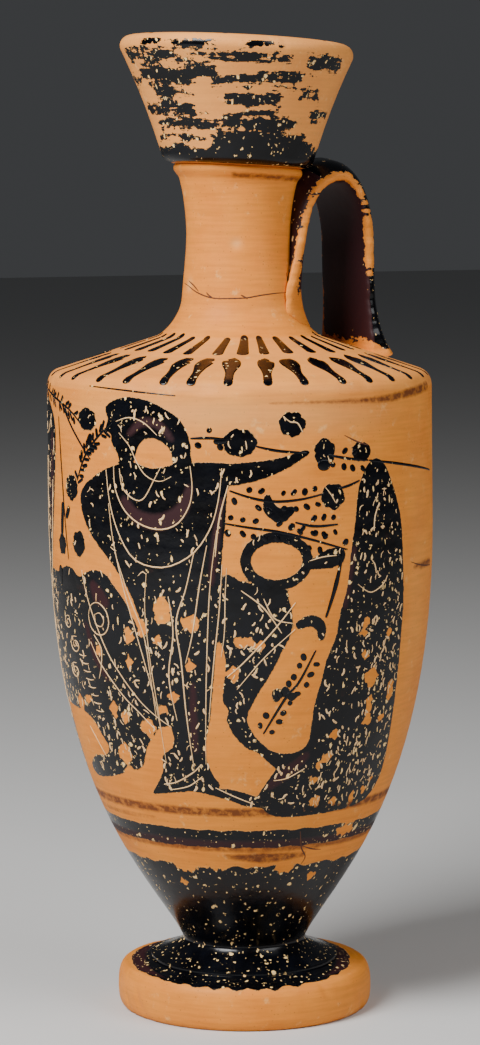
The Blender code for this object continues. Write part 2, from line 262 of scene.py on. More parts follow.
# %% [markdown]
# ## From outline to surface
#
# Every place on the vessel has two numbers: the angle round it, zero where the camera looks and
# positive to the right, and the run along the outline. One function turns them into a point, so
# the wall, the painted strokes and the scratched lines all lie on the same surface. It also gives
# the pot what the wheel and the kiln gave it: finger ridges, a slight wobble, an axis that leans,
# and a mouth that dips towards the handle.

# %% Places on the vessel
LEAN = math.radians(0.55)
MOUTH_DIP = math.radians(3.0)
SWAY_SHARE = 0.30
RIDGE_PITCH = 5.2
RIDGE_HEIGHT = 0.014
WOBBLE = 0.10

along = np.gradient(OUTLINE, RUN, axis=0)
OUTWARD = np.stack([along[:, 1], -along[:, 0]], axis=1)
OUTWARD /= np.linalg.norm(OUTWARD, axis=1)[:, None]
OUTER_RUN = RUN[STRETCH == "lip"][-1]


def askew(x, y, z):
    """z falls by tan(dip) x on the mouth and, smoothly less, down the top of the neck; x moves by
    tan(lean) times the distance below the middle of the upright wall."""
    sway = SWAY_SHARE * NECK_HEIGHT
    share = np.clip((z - RING_Z + sway) / sway, 0.0, 1.0)
    z = z - math.tan(MOUTH_DIP) * share * share * (3 - 2 * share) * x
    return np.stack([x + math.tan(LEAN) * (0.5 * (WALL_Z + EDGE_Z) - z), y, z], axis=-1)


def hand_of_the_potter(angle, run):
    """Outward shift of the outer wall: a slow wobble in two and three waves round, and a ridge
    sin(2 pi run / pitch) that climbs slowly as the fingers did."""
    wobble = WOBBLE * (np.sin(2 * angle + run / 31.0) + 0.6 * np.sin(3 * angle - run / 19.0))
    ridge = RIDGE_HEIGHT * np.sin(2 * np.pi * run / RIDGE_PITCH + angle)
    return np.where((run > RUN[STRETCH == "stem"][0]) & (run < OUTER_RUN), wobble + ridge, 0.0)


def place(angle, run, lift=0.0):
    """The point at an angle and a run, lifted off the surface along its normal, in mm."""
    radius, height, out_r, out_z = (
        np.interp(run, RUN, values) for values in (*OUTLINE.T, *OUTWARD.T))
    radius = radius + hand_of_the_potter(angle, run) + lift * out_r
    height = height + lift * out_z
    azimuth = FRONT + angle
    return askew(radius * np.cos(azimuth), radius * np.sin(azimuth), height)


print("lip, front:", np.round(place(np.array(0.0), np.array(OUTER_RUN)), 1))

# %% [markdown]
# ## Columns and rows
#
# The rows are the outline's points. The columns stand close on the side that faces the camera,
# where the picture is fine, and wider behind. Each vertex keeps its angle and run, because the
# painting is worked out from those.

# %% Grid of the vessel
FRONT_COLUMNS, BACK_COLUMNS = 222, 42
FRONT_SPREAD = math.radians(206.0)


def columns():
    """Angles round the vessel: even steps over the front, wider even steps over the back."""
    front = np.linspace(-0.5, 0.5, FRONT_COLUMNS, endpoint=False) * FRONT_SPREAD
    back = np.linspace(0.0, 1.0, BACK_COLUMNS, endpoint=False)
    return np.concatenate([front, 0.5 * FRONT_SPREAD + back * (2 * math.pi - FRONT_SPREAD)])


ANGLE = columns()
angle, run = np.meshgrid(ANGLE, RUN[1:-1])
row_count, column_count = angle.shape
stretch = np.repeat(STRETCH[1:-1], column_count).reshape(angle.shape)
up = np.repeat(OUTLINE[1:-1, 1], column_count).reshape(angle.shape)
out = np.repeat(OUTLINE[1:-1, 0], column_count).reshape(angle.shape)
print(row_count, "rows x", column_count, "columns =", 2 * angle.size, "triangles")

# %% [markdown]
# ## Drawing the picture
#
# A black-figure picture is a set of flat silhouettes, so each is a closed smooth line round a few
# points. The drawing sheet is the wall unrolled: the first number is the distance round the wall
# in mm at its full width, zero at the middle of the view, and the second is the height in mm. What
# a vertex needs is its distance to the nearest edge, positive inside: the zero line of distances is
# far smoother than the grid itself. The figures are plain cloaked ones of my own invention, set
# where the real picture has its dark masses.


# %% Tools for silhouettes
def smooth_line(points, closed, steps=8):
    """A line through all the points: between two of them the cubic curve whose pulls are half the
    step from the point before to the point after."""
    points = np.array(points, float)
    before, after = np.roll(points, 1, axis=0), np.roll(points, -1, axis=0)
    if not closed:
        before[0], after[-1] = points[0], points[-1]
    pull = 0.5 * (after - before)
    last = len(points) if closed else len(points) - 1
    t = (np.arange(steps) / steps)[None, :, None]
    a, b = points[:last, None], np.roll(points, -1, axis=0)[:last, None]
    pa, pb = pull[:last, None], np.roll(pull, -1, axis=0)[:last, None]
    line = ((2 * t**3 - 3 * t**2 + 1) * a + (t**3 - 2 * t**2 + t) * pa
            + (3 * t**2 - 2 * t**3) * b + (t**3 - t**2) * pb).reshape(-1, 2)
    return line if closed else np.concatenate([line, points[-1:]])


def to_segments(sheet, line, widths=None):
    """For every place on the sheet, the least distance to the line's segments, less the half
    width there: distance to a + h (b - a), with h clipped between 0 and 1."""
    best = np.full(sheet.shape[:-1], 1e9)
    widths = np.zeros(len(line)) if widths is None else widths
    for a, b, wa, wb in zip(line, line[1:], widths, widths[1:]):
        step = b - a
        h = np.clip((sheet - a) @ step / max(step @ step, 1e-9), 0.0, 1.0)
        away = np.linalg.norm(sheet - a - h[..., None] * step, axis=-1)
        best = np.minimum(best, away - wa - h * (wb - wa))
    return best


def inside_line(sheet, line):
    """True where a ray to the right crosses the closed line an odd number of times."""
    inside = np.zeros(sheet.shape[:-1], bool)
    for a, b in zip(line, np.roll(line, -1, axis=0)):
        spans = (a[1] > sheet[..., 1]) != (b[1] > sheet[..., 1])
        rise = b[1] - a[1]
        crossing = a[0] + (sheet[..., 1] - a[1]) / (rise if abs(rise) > 1e-9 else 1e-9) * (b[0] - a[0])
        inside ^= spans & (sheet[..., 0] < crossing)
    return inside


def silhouette(sheet, points):
    """Distance to a closed smooth line, positive inside it."""
    line = smooth_line(points, closed=True)
    away = to_segments(sheet, np.concatenate([line, line[:1]]))
    return np.where(inside_line(sheet, line), away, -away)


def brush(sheet, points, half_widths, closed=False):
    """Distance to the edge of a brush stroke along a smooth line, positive inside it."""
    line = smooth_line(points, closed)
    share = np.linspace(0.0, len(half_widths) - 1.0, len(line))
    widths = np.interp(share, np.arange(len(half_widths)), half_widths)
    if closed:
        line, widths = np.concatenate([line, line[:1]]), np.append(widths, widths[0])
    return -to_segments(sheet, line, widths)


# %% The silhouettes
CLOAK = [(-43, 153.5), (-37, 156), (-31, 157.5), (-24, 156), (-16, 157.5), (-9, 158), (-3.5, 157),
         (-3.5, 150), (-4, 142), (-5, 133), (-5.5, 121.5), (-7, 107.5), (-8.5, 95), (-9.5, 88.5),
         (-11.5, 80), (-10, 74), (-7.5, 70), (-11, 67.5), (-17, 68), (-26, 67), (-32, 66.5),
         (-29, 70), (-26.5, 73.5), (-25.5, 78), (-21.5, 81), (-22, 87), (-26, 95), (-30, 105),
         (-29, 114), (-31.5, 121.5), (-34.5, 126), (-38, 130), (-42.5, 134), (-47, 138.5), (-50, 144),
         (-49.5, 149)]
HEAD = [(-33, 174.5), (-27, 174.3), (-21, 172.3), (-16, 169), (-13.5, 164), (-13, 158),
        (-13.5, 154), (-17.5, 154), (-18.5, 160), (-21, 163), (-25, 164), (-28, 162), (-29.5, 158),
        (-30.5, 154), (-34, 155), (-35, 159), (-37, 162), (-37.5, 164.5), (-39.5, 165.5),
        (-38.5, 168.5), (-39, 172)]
VEILED = [(39.5, 158), (43, 156.5), (45.5, 152.5), (48, 147.5), (50.5, 140), (51.5, 130),
          (52.5, 118.5), (52.5, 109), (53, 97), (54, 85), (55.5, 72), (54.5, 67), (50, 63),
          (42, 61.5), (34.5, 61), (20.5, 60.5), (11, 61), (6.5, 63.5), (4.5, 66), (7, 70),
          (10.5, 74.5), (15, 78), (20, 81.5), (21, 88), (21.5, 93), (23, 98.5), (24.5, 105),
          (27, 111), (28, 117), (30, 124), (31, 133), (32.5, 142), (33.5, 150), (36, 155.5)]
STOOPING = [(-2.5, 128), (0, 126.5), (3, 126), (6, 125.5), (12, 124), (13, 121), (14, 116.5),
            (13.5, 112), (11, 107), (8.5, 102), (4, 95), (1.5, 89.5), (2.5, 86), (5.5, 82.5),
            (9, 80), (14, 79), (20, 80.5), (22, 84), (22, 76), (15, 72), (9, 76), (4.5, 79.5),
            (1, 81), (-2.5, 84.5), (-4.5, 88.5), (-4, 91.5), (-5.5, 94), (-5, 99.5), (-4.5, 104),
            (-5, 108), (-6.5, 112), (-6, 120), (-4.5, 128)]
BEAST = [(-82, 120), (-74, 125), (-66, 125), (-60.5, 127), (-56, 127), (-52, 125), (-48.5, 126.5),
         (-44, 127.5), (-40, 126.5), (-37.5, 124), (-35.5, 122), (-33, 119), (-31.5, 116),
         (-29, 112), (-24, 105), (-21, 96), (-21.5, 87.5), (-25.5, 85.5), (-28, 83), (-30.5, 80.5),
         (-32, 77.5), (-35, 73.5), (-44, 71), (-53, 69), (-62, 68.5), (-64.5, 71), (-58, 74.5),
         (-51, 75.5), (-48, 78), (-50, 81), (-53.5, 85), (-58.5, 87), (-66, 87.5), (-74, 89),
         (-79, 100)]
ATTENDANT = [(-66, 164), (-70, 170), (-76, 172.5), (-82, 170), (-85, 164), (-84, 158), (-92, 152),
             (-94, 138), (-92, 120), (-90, 100), (-89, 84), (-86, 70), (-80, 66), (-74, 70),
             (-74, 84), (-76, 100), (-77, 116), (-72, 128), (-69, 140), (-67, 152)]
BRUSHED = [
    ([(-6, 154.5), (3, 155.5), (11, 157.5), (18, 160.5)], [3.2, 2.7, 1.7, 0.7]),
    ([(17.5, 130), (21, 131), (24.5, 132), (27, 132.5)], [0.6, 1.8, 2.7, 2.3]),
    ([(-13, 68.5), (-5, 67.5), (1, 66), (6, 65)], [0.7, 1.6, 1.9, 1.4]),
    ([(16, 114.5), (19, 115.5), (22, 114), (22.5, 111)], [1.2, 1.6, 1.6, 1.1]),
    ([(7.2, 148.8), (7.8, 145.8), (10.6, 143.9), (13.6, 145.4)], [0.9, 1.8, 2.0, 1.0]),
]
BLOBS = [
    (14, 168, 3.7, 3.3), (23, 160.5, 3.1, 3.6), (34.5, 160, 3.3, 2.7), (25.5, 148.5, 3.6, 3.5),
    (0, 163.2, 4.6, 3.7), (-47, 168, 4.0, 3.1), (-55, 149, 3.4, 3.6), (-51.5, 134, 3.1, 3.6),
    (-61.5, 133, 2.6, 3.0), (9.8, 95.4, 1.5, 1.7), (12.2, 96.4, 1.4, 1.7), (14.6, 95, 1.7, 1.3),
]
BLOB_WAVER = 0.22
WREATH_CENTRE, WREATH_HALF, WREATH_WIDTH = (9.6, 131.8), (8.4, 6.4), 1.45


def wreath():
    """Twelve points of an ellipse."""
    around = np.linspace(0.0, 2 * np.pi, 12, endpoint=False)
    return np.array(WREATH_CENTRE) + np.array(WREATH_HALF) * np.stack(
        [np.cos(around), np.sin(around)], axis=1)


def uneven(sheet, reach):
    """The sheet's places pushed about by crossed sine waves 3 to 4 mm long, so that what is drawn
    round comes out with the wavering edge of a flake or a dab."""
    x, z = sheet[..., 0], sheet[..., 1]
    return sheet + reach * np.stack([
        np.sin(1.9 * z + 0.7 * x) + 0.6 * np.sin(3.1 * z - 1.3 * x),
        np.sin(1.7 * x - 0.9 * z) + 0.6 * np.sin(2.9 * x + 1.1 * z)], axis=-1)


def spots_on(sheet, spots, reach):
    """For ovals (x, z, half width, half height): the greatest of (1 - sqrt((dx / half width)^2
    + (dz / half height)^2)) times the lesser half, about the distance inside the edge."""
    bent = uneven(sheet, reach)
    return np.maximum.reduce([
        (1 - np.hypot((bent[..., 0] - x) / wide, (bent[..., 1] - z) / tall)) * min(wide, tall)
        for x, z, wide, tall in spots])


def black_figures(sheet):
    """The largest of the distances is the union of the shapes."""
    shapes = [silhouette(sheet, points)
              for points in (CLOAK, HEAD, VEILED, STOOPING, BEAST, ATTENDANT)]
    shapes += [brush(sheet, points, widths) for points, widths in BRUSHED]
    shapes.append(brush(sheet, wreath(), [WREATH_WIDTH] * 2, closed=True))
    shapes.append(spots_on(sheet, BLOBS, BLOB_WAVER))
    return np.maximum.reduce(shapes)


# %% Where the picture lies on the grid
sheet = np.stack([angle * BODY_RADIUS, up], axis=-1)
sheet[..., 0] = (sheet[..., 0] + np.pi * BODY_RADIUS) % (2 * np.pi * BODY_RADIUS) - np.pi * BODY_RADIUS
on_picture = (stretch == "picture") & (np.abs(sheet[..., 0]) < 100.0)
NOWHERE = -9.0
slip = np.full(angle.shape, NOWHERE)
slip[on_picture] = np.maximum(NOWHERE, black_figures(sheet[on_picture]))
print("share of the front that is painted", round(float((slip[on_picture] > 0).mean()), 2))

# %% [markdown]
# ## Bands, foot, mouth, added red and wear
#
# The bands were drawn with a loaded brush while the pot turned, so they depend on height alone,
# but for the unsteady hand. Over the black, the painter laid a purple-red in places: it is dull,
# not glossy. The black has flaked more in some places than in others, so the wear is a number from
# 0 to 1 that falls off smoothly round a few spots, and the largest lost flakes are set one by one.
# On the mouth the black is nearly gone, in streaks round it.

# %% Bands and foot
LOWER_BLACK_TOP = 45.6
BAND = 51.6, 56.8
GROUND_LINE = 61.0, 63.4
FOOT_SLIP_RADIUS = 34.2


def between(value, low, high):
    """Distance inside a span of values: the lesser of value - low and high - value."""
    return np.minimum(value - low, high - value)


def ripple(angle, run, waves, seed):
    """A repeatable rough wave: a sum of sines with set turns, about -1 to 1."""
    rng = np.random.default_rng(seed)
    total = np.zeros_like(angle)
    for _ in range(waves):
        turns, pitch, phase = rng.integers(3, 40), rng.uniform(2.0, 16.0), rng.uniform(0, 2 * np.pi)
        total += np.sin(turns * angle + run / pitch * 2 + phase)
    return total / math.sqrt(waves) / 1.4


def foot_slip_edge(angle):
    """Radius where the slip ends on the foot. The brush ran off centre: the edge is furthest out in
    front and moves in with 1 - cos(angle), more at the right than at the left."""
    return FOOT_SLIP_RADIUS - (3.9 + 1.2 * np.sin(angle)) * np.minimum(1 - np.cos(angle), 0.9)


outer = run < OUTER_RUN
unsteady = 0.45 * ripple(angle, 0 * run, 12, 31)
standing = np.isin(stretch, ("foot_rise", "foot_step", "stem", "picture"))
slip = np.where(standing, np.maximum(slip, LOWER_BLACK_TOP - up + unsteady), slip)
slip = np.where(standing, np.maximum(slip, between(up, *BAND) + 0.35 * unsteady), slip)
on_foot = np.isin(stretch, ("foot_side", "foot_top")) & (up > 0.45 * FOOT_HEIGHT)
slip = np.where(on_foot, foot_slip_edge(angle) - out + unsteady, slip)
print("rows of the band", int(((OUTLINE[:, 1] > BAND[0]) & (OUTLINE[:, 1] < BAND[1])).sum()))

# %% Large lost flakes
LOST_FLAKES = [
    (40.5, 98.5, 2.6, 2.6), (41, 90.5, 1.2, 3), (41, 86.5, 1.7, 1.6), (50, 94, 1.6, 3),
    (29, 83.5, 1.4, 1.4), (27.5, 77, 1.6, 1.6), (25, 75, 1, 1), (25.5, 64.5, 2, 1.7),
    (33, 64, 2, 1.1), (41.5, 64, 1.3, 1.9), (24, 71, 1.8, 1.1), (36, 111, 1.6, 0.9),
    (37, 114, 1.1, 1.6), (37.5, 105, 1.6, 0.9), (46.5, 110, 0.9, 1.6), (47.5, 86.5, 1.1, 1.3),
    (47, 66, 1.3, 1.2), (49.5, 68.5, 1, 1), (-22, 118, 2.6, 3.8), (-14, 115, 2.6, 2.2),
    (-28.5, 113, 1.6, 2.3), (-33, 110.5, 1.7, 2.2), (-24, 110, 1, 1.6), (-14.5, 103.5, 1.3, 1.6),
    (-33.5, 103, 0.9, 2), (-20, 94.5, 1.8, 1.2), (-24, 91, 1.8, 1.4), (-29.5, 85.5, 2.6, 2.6),
    (0.5, 110, 2.6, 1.6), (5, 109, 1.4, 1.4), (-2.5, 101.5, 1.7, 2.2), (-40.5, 77, 3, 2.9),
    (-40, 72, 2.8, 1.3), (-42, 89.5, 1.5, 2.4), (-37.5, 87.5, 1.4, 2), (-54, 91, 1.6, 1.4),
    (-59.5, 89, 2, 2.4), (-45.5, 105.5, 1.2, 1.6), (-26, 45.4, 6.4, 1.9), (-12, 45.4, 3.8, 0.9),
    (18.5, 45.2, 4.7, 1.7), (44, 54.5, 5, 1.5), (-30, 40, 2.4, 1.0), (34, 41.5, 2.6, 1.2),
]
FLAKE_WAVER = 0.4
painted = np.isin(stretch, ("stem", "picture"))
slip[painted] = np.minimum(slip[painted], -spots_on(sheet[painted], LOST_FLAKES, FLAKE_WAVER))
print(len(LOST_FLAKES), "large flakes are lost")

# %% Mouth
MOUTH_STREAKS = [
    (-54, -30, 267.2, 0.5), (-26, -11, 267.0, 0.4), (7, 22, 267.3, 0.7), (-72, -40, 263.8, 1.3),
    (-38, -13, 264.0, 0.4), (-13, 6, 263.6, 1.1), (6, 27, 264.0, 0.6), (40, 64, 263.4, 1.6),
    (-60, -25, 258.8, 2.0), (-21, -14, 259.2, 1.6), (-13, 8, 257.6, 0.9), (14, 34, 258.6, 1.3),
    (42, 52, 255.5, 0.9), (-84, -68, 257.0, 1.0), (-55, -30, 254.2, 1.0), (-5, 23, 252.4, 1.4),
    (-72, -30, 249.8, 1.2), (3, 22, 249.2, 0.6), (56, 74, 250.0, 1.0), (-62, -10, 246.2, 0.9),
    (-8, 37, 246.6, 1.6), (-70, -16, 242.2, 0.4), (95, 130, 262.5, 1.0), (100, 150, 256.0, 1.4),
    (150, 210, 259.0, 1.6), (170, 240, 251.0, 1.3), (200, 262, 263.5, 1.2), (215, 255, 255.0, 1.2),
]
STREAK_MARGIN = 0.25
SOLID_TOP = [(-80, 239.6), (-22, 239.8), (-12, 244.6), (50, 244.6), (70, 241), (180, 242), (240, 241)]
BARE_LIP_Z, BARE_DEPTH, FUNNEL_DEPTH = 268.4, -4.0, 1.5
MOUTH_STREAKINESS, FUNNEL_STREAKINESS = 0.42, 0.6


def streaks_left(angle, out, up):
    """Distance inside the greatest of the flat streaks (first and last degree, height, half height),
    which is the half height less the distance to the streak's middle line, and inside the solid
    black below a line that is higher from the centre round to the right."""
    degrees = np.degrees(angle)
    streaks = []
    for first, last, z, half in MOUTH_STREAKS:
        beyond = np.maximum(np.abs(degrees - 0.5 * (first + last)) - 0.5 * (last - first), 0)
        streaks.append(half + STREAK_MARGIN - np.hypot(beyond * np.pi / 180 * out, up - z))
    solid_top = np.interp(degrees, *np.array(SOLID_TOP).T)
    return np.maximum(np.maximum.reduce(streaks), solid_top - up)


on_mouth = np.isin(stretch, ("base", "mouth", "lip")) & outer
slip = np.where(on_mouth, streaks_left(angle, out, up), slip)
slip = np.where((stretch == "lip") & (up > BARE_LIP_Z), BARE_DEPTH, slip)
slip = np.where(stretch == "funnel", FUNNEL_DEPTH, slip)
streak = np.where(on_mouth, MOUTH_STREAKINESS, 0.0)
streak = np.where(stretch == "funnel", FUNNEL_STREAKINESS, streak)
print("share of the mouth that is black", round(float((slip[on_mouth] > 0).mean()), 2))

# %% Added red
RED_SHAPES = [
    ([(-33, 147), (-29, 143), (-22, 141.8), (-16, 145), (-13.5, 151)], [1.2, 1.9, 2.3, 1.9, 1.0]),
    ([(-31, 165), (-27, 168), (-22, 167.5), (-18.5, 164)], [0.8, 1.2, 1.2, 0.8]),
    ([(-5, 148), (-6.5, 138), (-8, 126)], [0.6, 1.1, 0.8]),
    ([(-14, 98), (-14.5, 88), (-14.5, 80)], [0.8, 1.3, 0.9]),
    ([(-45.5, 123), (-43.5, 120.5), (-41, 119)], [1.6, 2.6, 1.6]),
    ([(-50, 112), (-47, 104), (-43, 98)], [0.8, 1.5, 1.0]),
    ([(29.5, 119), (30.5, 127), (32, 134)], [0.8, 1.3, 1.0]),
    ([(20, 78), (15, 74), (9, 70)], [1.2, 1.8, 1.2]),
    ([(-70, 162), (-71, 148), (-73, 134)], [1.4, 2.3, 1.8]),
]
RED_OVER_BAND = BAND[0] - 0.6, BAND[0] + 2.1
RED_FOOT_WIDTH = 3.0
red = np.full(angle.shape, NOWHERE)
red[on_picture] = np.maximum.reduce(
    [brush(sheet[on_picture], points, widths) for points, widths in RED_SHAPES])
red = np.where(stretch == "picture", np.maximum(red, between(up, *RED_OVER_BAND)), red)
slip_edge = foot_slip_edge(angle)
worn_side = between(out, slip_edge - RED_FOOT_WIDTH, slip_edge) + 8 * (np.abs(np.sin(angle)) - 0.9)
red = np.where(on_foot, np.maximum(red, worn_side), red)
print("places with added red", len(RED_SHAPES))

# %% Brown wash
WASHES = [
    ([(8, 173.5), (25, 173.6), (43, 173.7), (56, 174.8), (69, 175.8)], [0.1, 0.3, 0.9, 1.2, 1.2]),
    ([(-80, 58.9), (-55, 58.9), (-34, 59.2)], [0.2, 0.45, 0.15]),
    ([(-8, 49), (8, 48.4), (26, 48.8)], [0.3, 1.6, 0.6]),
    ([(58, 127), (64, 127), (72, 127)], [0.5, 1.0, 1.0]),
]
WASH_UNDER_BAND = BAND[0] - 1.1, BAND[0] + 0.4
WASH_UNDER_RING = 232.0, 233.2
near_edge = np.isin(stretch, ("picture", "edge", "stem")) & (np.abs(sheet[..., 0]) < 100)
wash = np.where(painted, between(up, *GROUND_LINE), NOWHERE)
wash[near_edge] = np.maximum(wash[near_edge], np.maximum.reduce(
    [brush(sheet[near_edge], points, widths) for points, widths in WASHES]))
wash = np.where(painted, np.maximum(wash, between(up, *WASH_UNDER_BAND)), wash)
under_ring = np.minimum(between(up, *WASH_UNDER_RING), 14.0 * (angle + 0.09))
wash = np.where(np.isin(stretch, ("neck", "ring")), under_ring, wash)
print("washed share of the wall", round(float((wash[painted] > 0).mean()), 2))

# %% Wear and paleness
WORN_SPOTS = [
    (44, 100, 14, 30, 0.28), (30, 70, 18, 9, 0.30), (2, 106, 8, 9, 0.22), (-21, 76, 8, 8, 0.26),
    (-24, 108, 10, 12, 0.20), (-44, 84, 12, 12, 0.26), (40, 146, 8, 10, 0.18), (-22, 170, 14, 5, 0.24),
    (46, 54, 13, 4, 0.60), (-46, 54, 10, 4, 0.20), (0, 42, 60, 5, 0.15), (-80, 110, 14, 50, 0.20),
]
PALE_SPOTS = [(-10, 171, 34, 6, 0.25), (30, 170, 20, 5, 0.12), (60, 120, 8, 40, 0.10)]
NECK_POCKS = [(-2.5, 214.7, 6, 1.2, 0.35), (-60, 203, 5, 1.6, 0.5)]
WALL_WEAR, OTHER_WEAR, FOOT_WEAR, MOUTH_WEAR, FUNNEL_WEAR = 0.29, 0.20, 0.42, 0.34, 0.3
SHOULDER_PALE, MOUTH_PALE = 0.12, 0.22


def spotted(sheet, spots):
    """Sum of soft spots: strength times exp(-(dx / half width)^2 - (dz / half height)^2)."""
    return sum(strength * np.exp(-((sheet[..., 0] - x) / wide) ** 2 - ((sheet[..., 1] - z) / tall) ** 2)
               for x, z, wide, tall, strength in spots)


wear = np.where(painted, WALL_WEAR + spotted(sheet, WORN_SPOTS), OTHER_WEAR)
wear = np.where(np.isin(stretch, ("foot_top", "foot_step", "foot_rise")), FOOT_WEAR, wear)
wear = np.where(on_mouth, MOUTH_WEAR, wear)
wear = np.where(stretch == "funnel", FUNNEL_WEAR, wear)
pale = np.where(painted, spotted(sheet, PALE_SPOTS), 0.0)
pale = np.where(np.isin(stretch, ("shoulder", "edge")), SHOULDER_PALE, pale)
pale = np.where(on_mouth, MOUTH_PALE, pale)
pocks = spotted(np.stack([np.degrees(angle), up], axis=-1), NECK_POCKS)
pale = np.where(stretch == "neck", pocks, pale)
print("mean wear on the picture", round(float(wear[on_picture].mean()), 2))

# %% [markdown]
# ## The vessel's mesh
#
# The grid becomes one closed skin: a point at each end of the outline, rings of vertices between,
# and the last column joined to the first. It carries its own unwrapping, angle against run, with
# more of the sheet given to the front, and the numbers of the painting as attributes.


# %% From a grid to a closed mesh
def closed_skin(rows, columns):
    """Faces of a skin with one point at each end: quads between the rings and a fan of triangles
    at both points. Vertex 0 is the first point, the last vertex the other."""
    ring = 1 + np.arange(rows)[:, None] * columns + np.arange(columns)[None, :]
    nxt = np.roll(ring, -1, axis=1)
    quads = np.stack([ring[:-1], nxt[:-1], nxt[1:], ring[1:]], axis=-1).reshape(-1, 4)
    first = np.stack([np.zeros(columns, int), nxt[0], ring[0]], axis=-1)
    last = np.stack([ring[-1], nxt[-1], np.full(columns, 1 + rows * columns)], axis=-1)
    return quads, np.concatenate([first, last])


def make_piece(name, points, quads, triangles, attributes=(), sharp=50.0):
    """Puts the arrays into a mesh, turns it right side out by the sign of its volume, shades it
    smooth with creases above the sharp angle, and adds one float per vertex for each attribute."""
    a, b, c = (points[triangles[:, k]] for k in range(3))
    q = [points[quads[:, k]] for k in range(4)]
    volume = np.einsum("ij,ij->", a, np.cross(b, c)) + np.einsum(
        "ij,ij->", q[0], np.cross(q[1], q[2])) + np.einsum("ij,ij->", q[0], np.cross(q[2], q[3]))
    if volume < 0:
        quads, triangles = quads[:, ::-1], triangles[:, ::-1]
    mesh = bpy.data.meshes.new(name)
    mesh.from_pydata((points * MM).tolist(), [], quads.tolist() + triangles.tolist())
    mesh.shade_smooth()
    mesh.set_sharp_from_angle(angle=math.radians(sharp))
    for key, values in attributes:
        mesh.attributes.new(key, "FLOAT", "POINT").data.foreach_set("value", values.astype(np.float32))
    piece = bpy.data.objects.new(name, mesh)
    bpy.context.collection.objects.link(piece)
    millilitres = round(abs(volume) / 6000, 1)
    print(name, "has", 2 * len(quads) + len(triangles), "triangles and holds", millilitres, "ml of clay")
    return piece


UV_MARGIN = 0.002


def unwrap(piece, u, v):
    """Writes an unwrapping from one (u, v) per vertex. A face that crosses the joint of the sheet
    has corners near both its sides: the low ones are moved one sheet on."""
    mesh = piece.data
    corner = np.empty(len(mesh.loops), np.int32)
    mesh.loops.foreach_get("vertex_index", corner)
    start = np.empty(len(mesh.polygons), np.int32)
    mesh.polygons.foreach_get("loop_start", start)
    us, vs = u[corner], v[corner]
    most = np.maximum.reduceat(us, start)
    size = np.diff(np.append(start, len(corner)))
    us = np.where(np.repeat(most, size) - us > 0.5, us + 1.0, us)
    layer = mesh.uv_layers.new(name="OFBake")
    flat = np.stack([UV_MARGIN + (1 - 2 * UV_MARGIN) * us, vs], axis=1)
    layer.data.foreach_set("uv", flat.astype(np.float32).ravel())


# %% [markdown]
# Small damage is part of the surface too: the foot's edge and the edge of the shoulder are
# chipped, the top of the foot has shallow turned grooves, and the neck has a small pock.


# %% Damage in the surface
CHIP_DEPTH, GROOVE_DEPTH, GROOVE_PITCH, EDGE_DEPTH, LIP_DEPTH, POCK_DEPTH = 0.45, 0.16, 1.9, 0.5, 0.3, 0.45


def damage(angle, run, stretch, up, out):
    """Depth in mm taken off along the normal: chips where a rough wave stands above a level, grooves
    cos^2 of the radius, and one pock exp(-(da / 6)^2 - (dz / 1.1)^2) on the neck."""
    depth = np.zeros_like(angle)
    depth += (stretch == "foot_side") * CHIP_DEPTH * np.clip(ripple(angle, run, 14, 3) - 0.55, 0, 1)
    grooves = GROOVE_DEPTH * np.clip(np.cos(2 * np.pi * (out - STEP_RADIUS) / GROOVE_PITCH), 0, 1) ** 2
    depth += (stretch == "foot_top") * grooves
    edge = (stretch == "edge") * np.sin(np.pi * np.clip((up - 175.5) / 4.3, 0, 1))
    depth += edge * EDGE_DEPTH * np.clip(ripple(angle, run, 16, 8) - 0.25, 0, 1)
    depth += (stretch == "lip") * LIP_DEPTH * np.clip(ripple(angle, run, 16, 12) - 0.6, 0, 1)
    pock = np.exp(-((np.degrees(angle) + 2.5) / 6.0) ** 2 - ((up - 214.7) / 1.1) ** 2)
    return depth + (stretch == "neck") * POCK_DEPTH * pock


depth = damage(angle, run, stretch, up, out)
grid_points = place(angle, run, -depth)
ends = place(np.zeros(2), RUN[[0, -1]])
points = np.concatenate([ends[:1], grid_points.reshape(-1, 3), ends[1:]])
quads, triangles = closed_skin(row_count, column_count)


def with_ends(values):
    """The grid's values with those of the two end points added."""
    return np.concatenate([values[:1, 0], values.ravel(), values[-1:, 0]])


FRONT_OF_SHEET = 0.70
vessel = make_piece("vessel", points, quads, triangles, [
    ("slip_mm", with_ends(slip)), ("red_and_shade_mm", with_ends(red)), ("wash_mm", with_ends(wash)),
    ("wear", with_ends(wear)), ("streak", with_ends(streak)), ("pale", with_ends(pale))])
turn = with_ends(angle)
half_front = 0.5 * FRONT_SPREAD
share_round = np.interp(turn, [-half_front, half_front, 2 * np.pi - half_front], [0.0, FRONT_OF_SHEET, 1.0])
unwrap(vessel, share_round, UV_MARGIN + (1 - 2 * UV_MARGIN) * with_ends(run) / RUN[-1])
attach(vessel, "root")
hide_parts("lekythos")

# %% [markdown]
# ## The handle
#
# The handle is a pulled strap of clay: flat where it clings to the neck, thick and round-edged
# over the top, spreading where it meets the shoulder. It is a cross-section carried along a path
# in the plane of the axis, with the ends sunk in the walls, where wet clay joined them. Hands have
# rubbed the slip off its edges. The side that faces the neck, and the outer face near the root,
# lie in shade: they are given the dark added red as painted shade.

# %% Handle
STRAP_WIDTH, STRAP_EDGE, STRAP_CROWN = 25.0, 3.0, 3.9
HANDLE_REACH, APEX_REACH, APEX_RISE = 20.9, 12.4, 2.2
TAIL, ROOT, CLING_DROP = (19.3, 191.2), (15.3, 203.5), 36.5
ROOT_FLARE, SHOULDER_FLARE, SUNK_SHARE = 7.5, 2.6, 0.40
WORN_EDGE_BUMP = 0.16
STRAP_STATIONS, STRAP_ROUND = 120, 44
HANDLE_SIDE = -FRONT


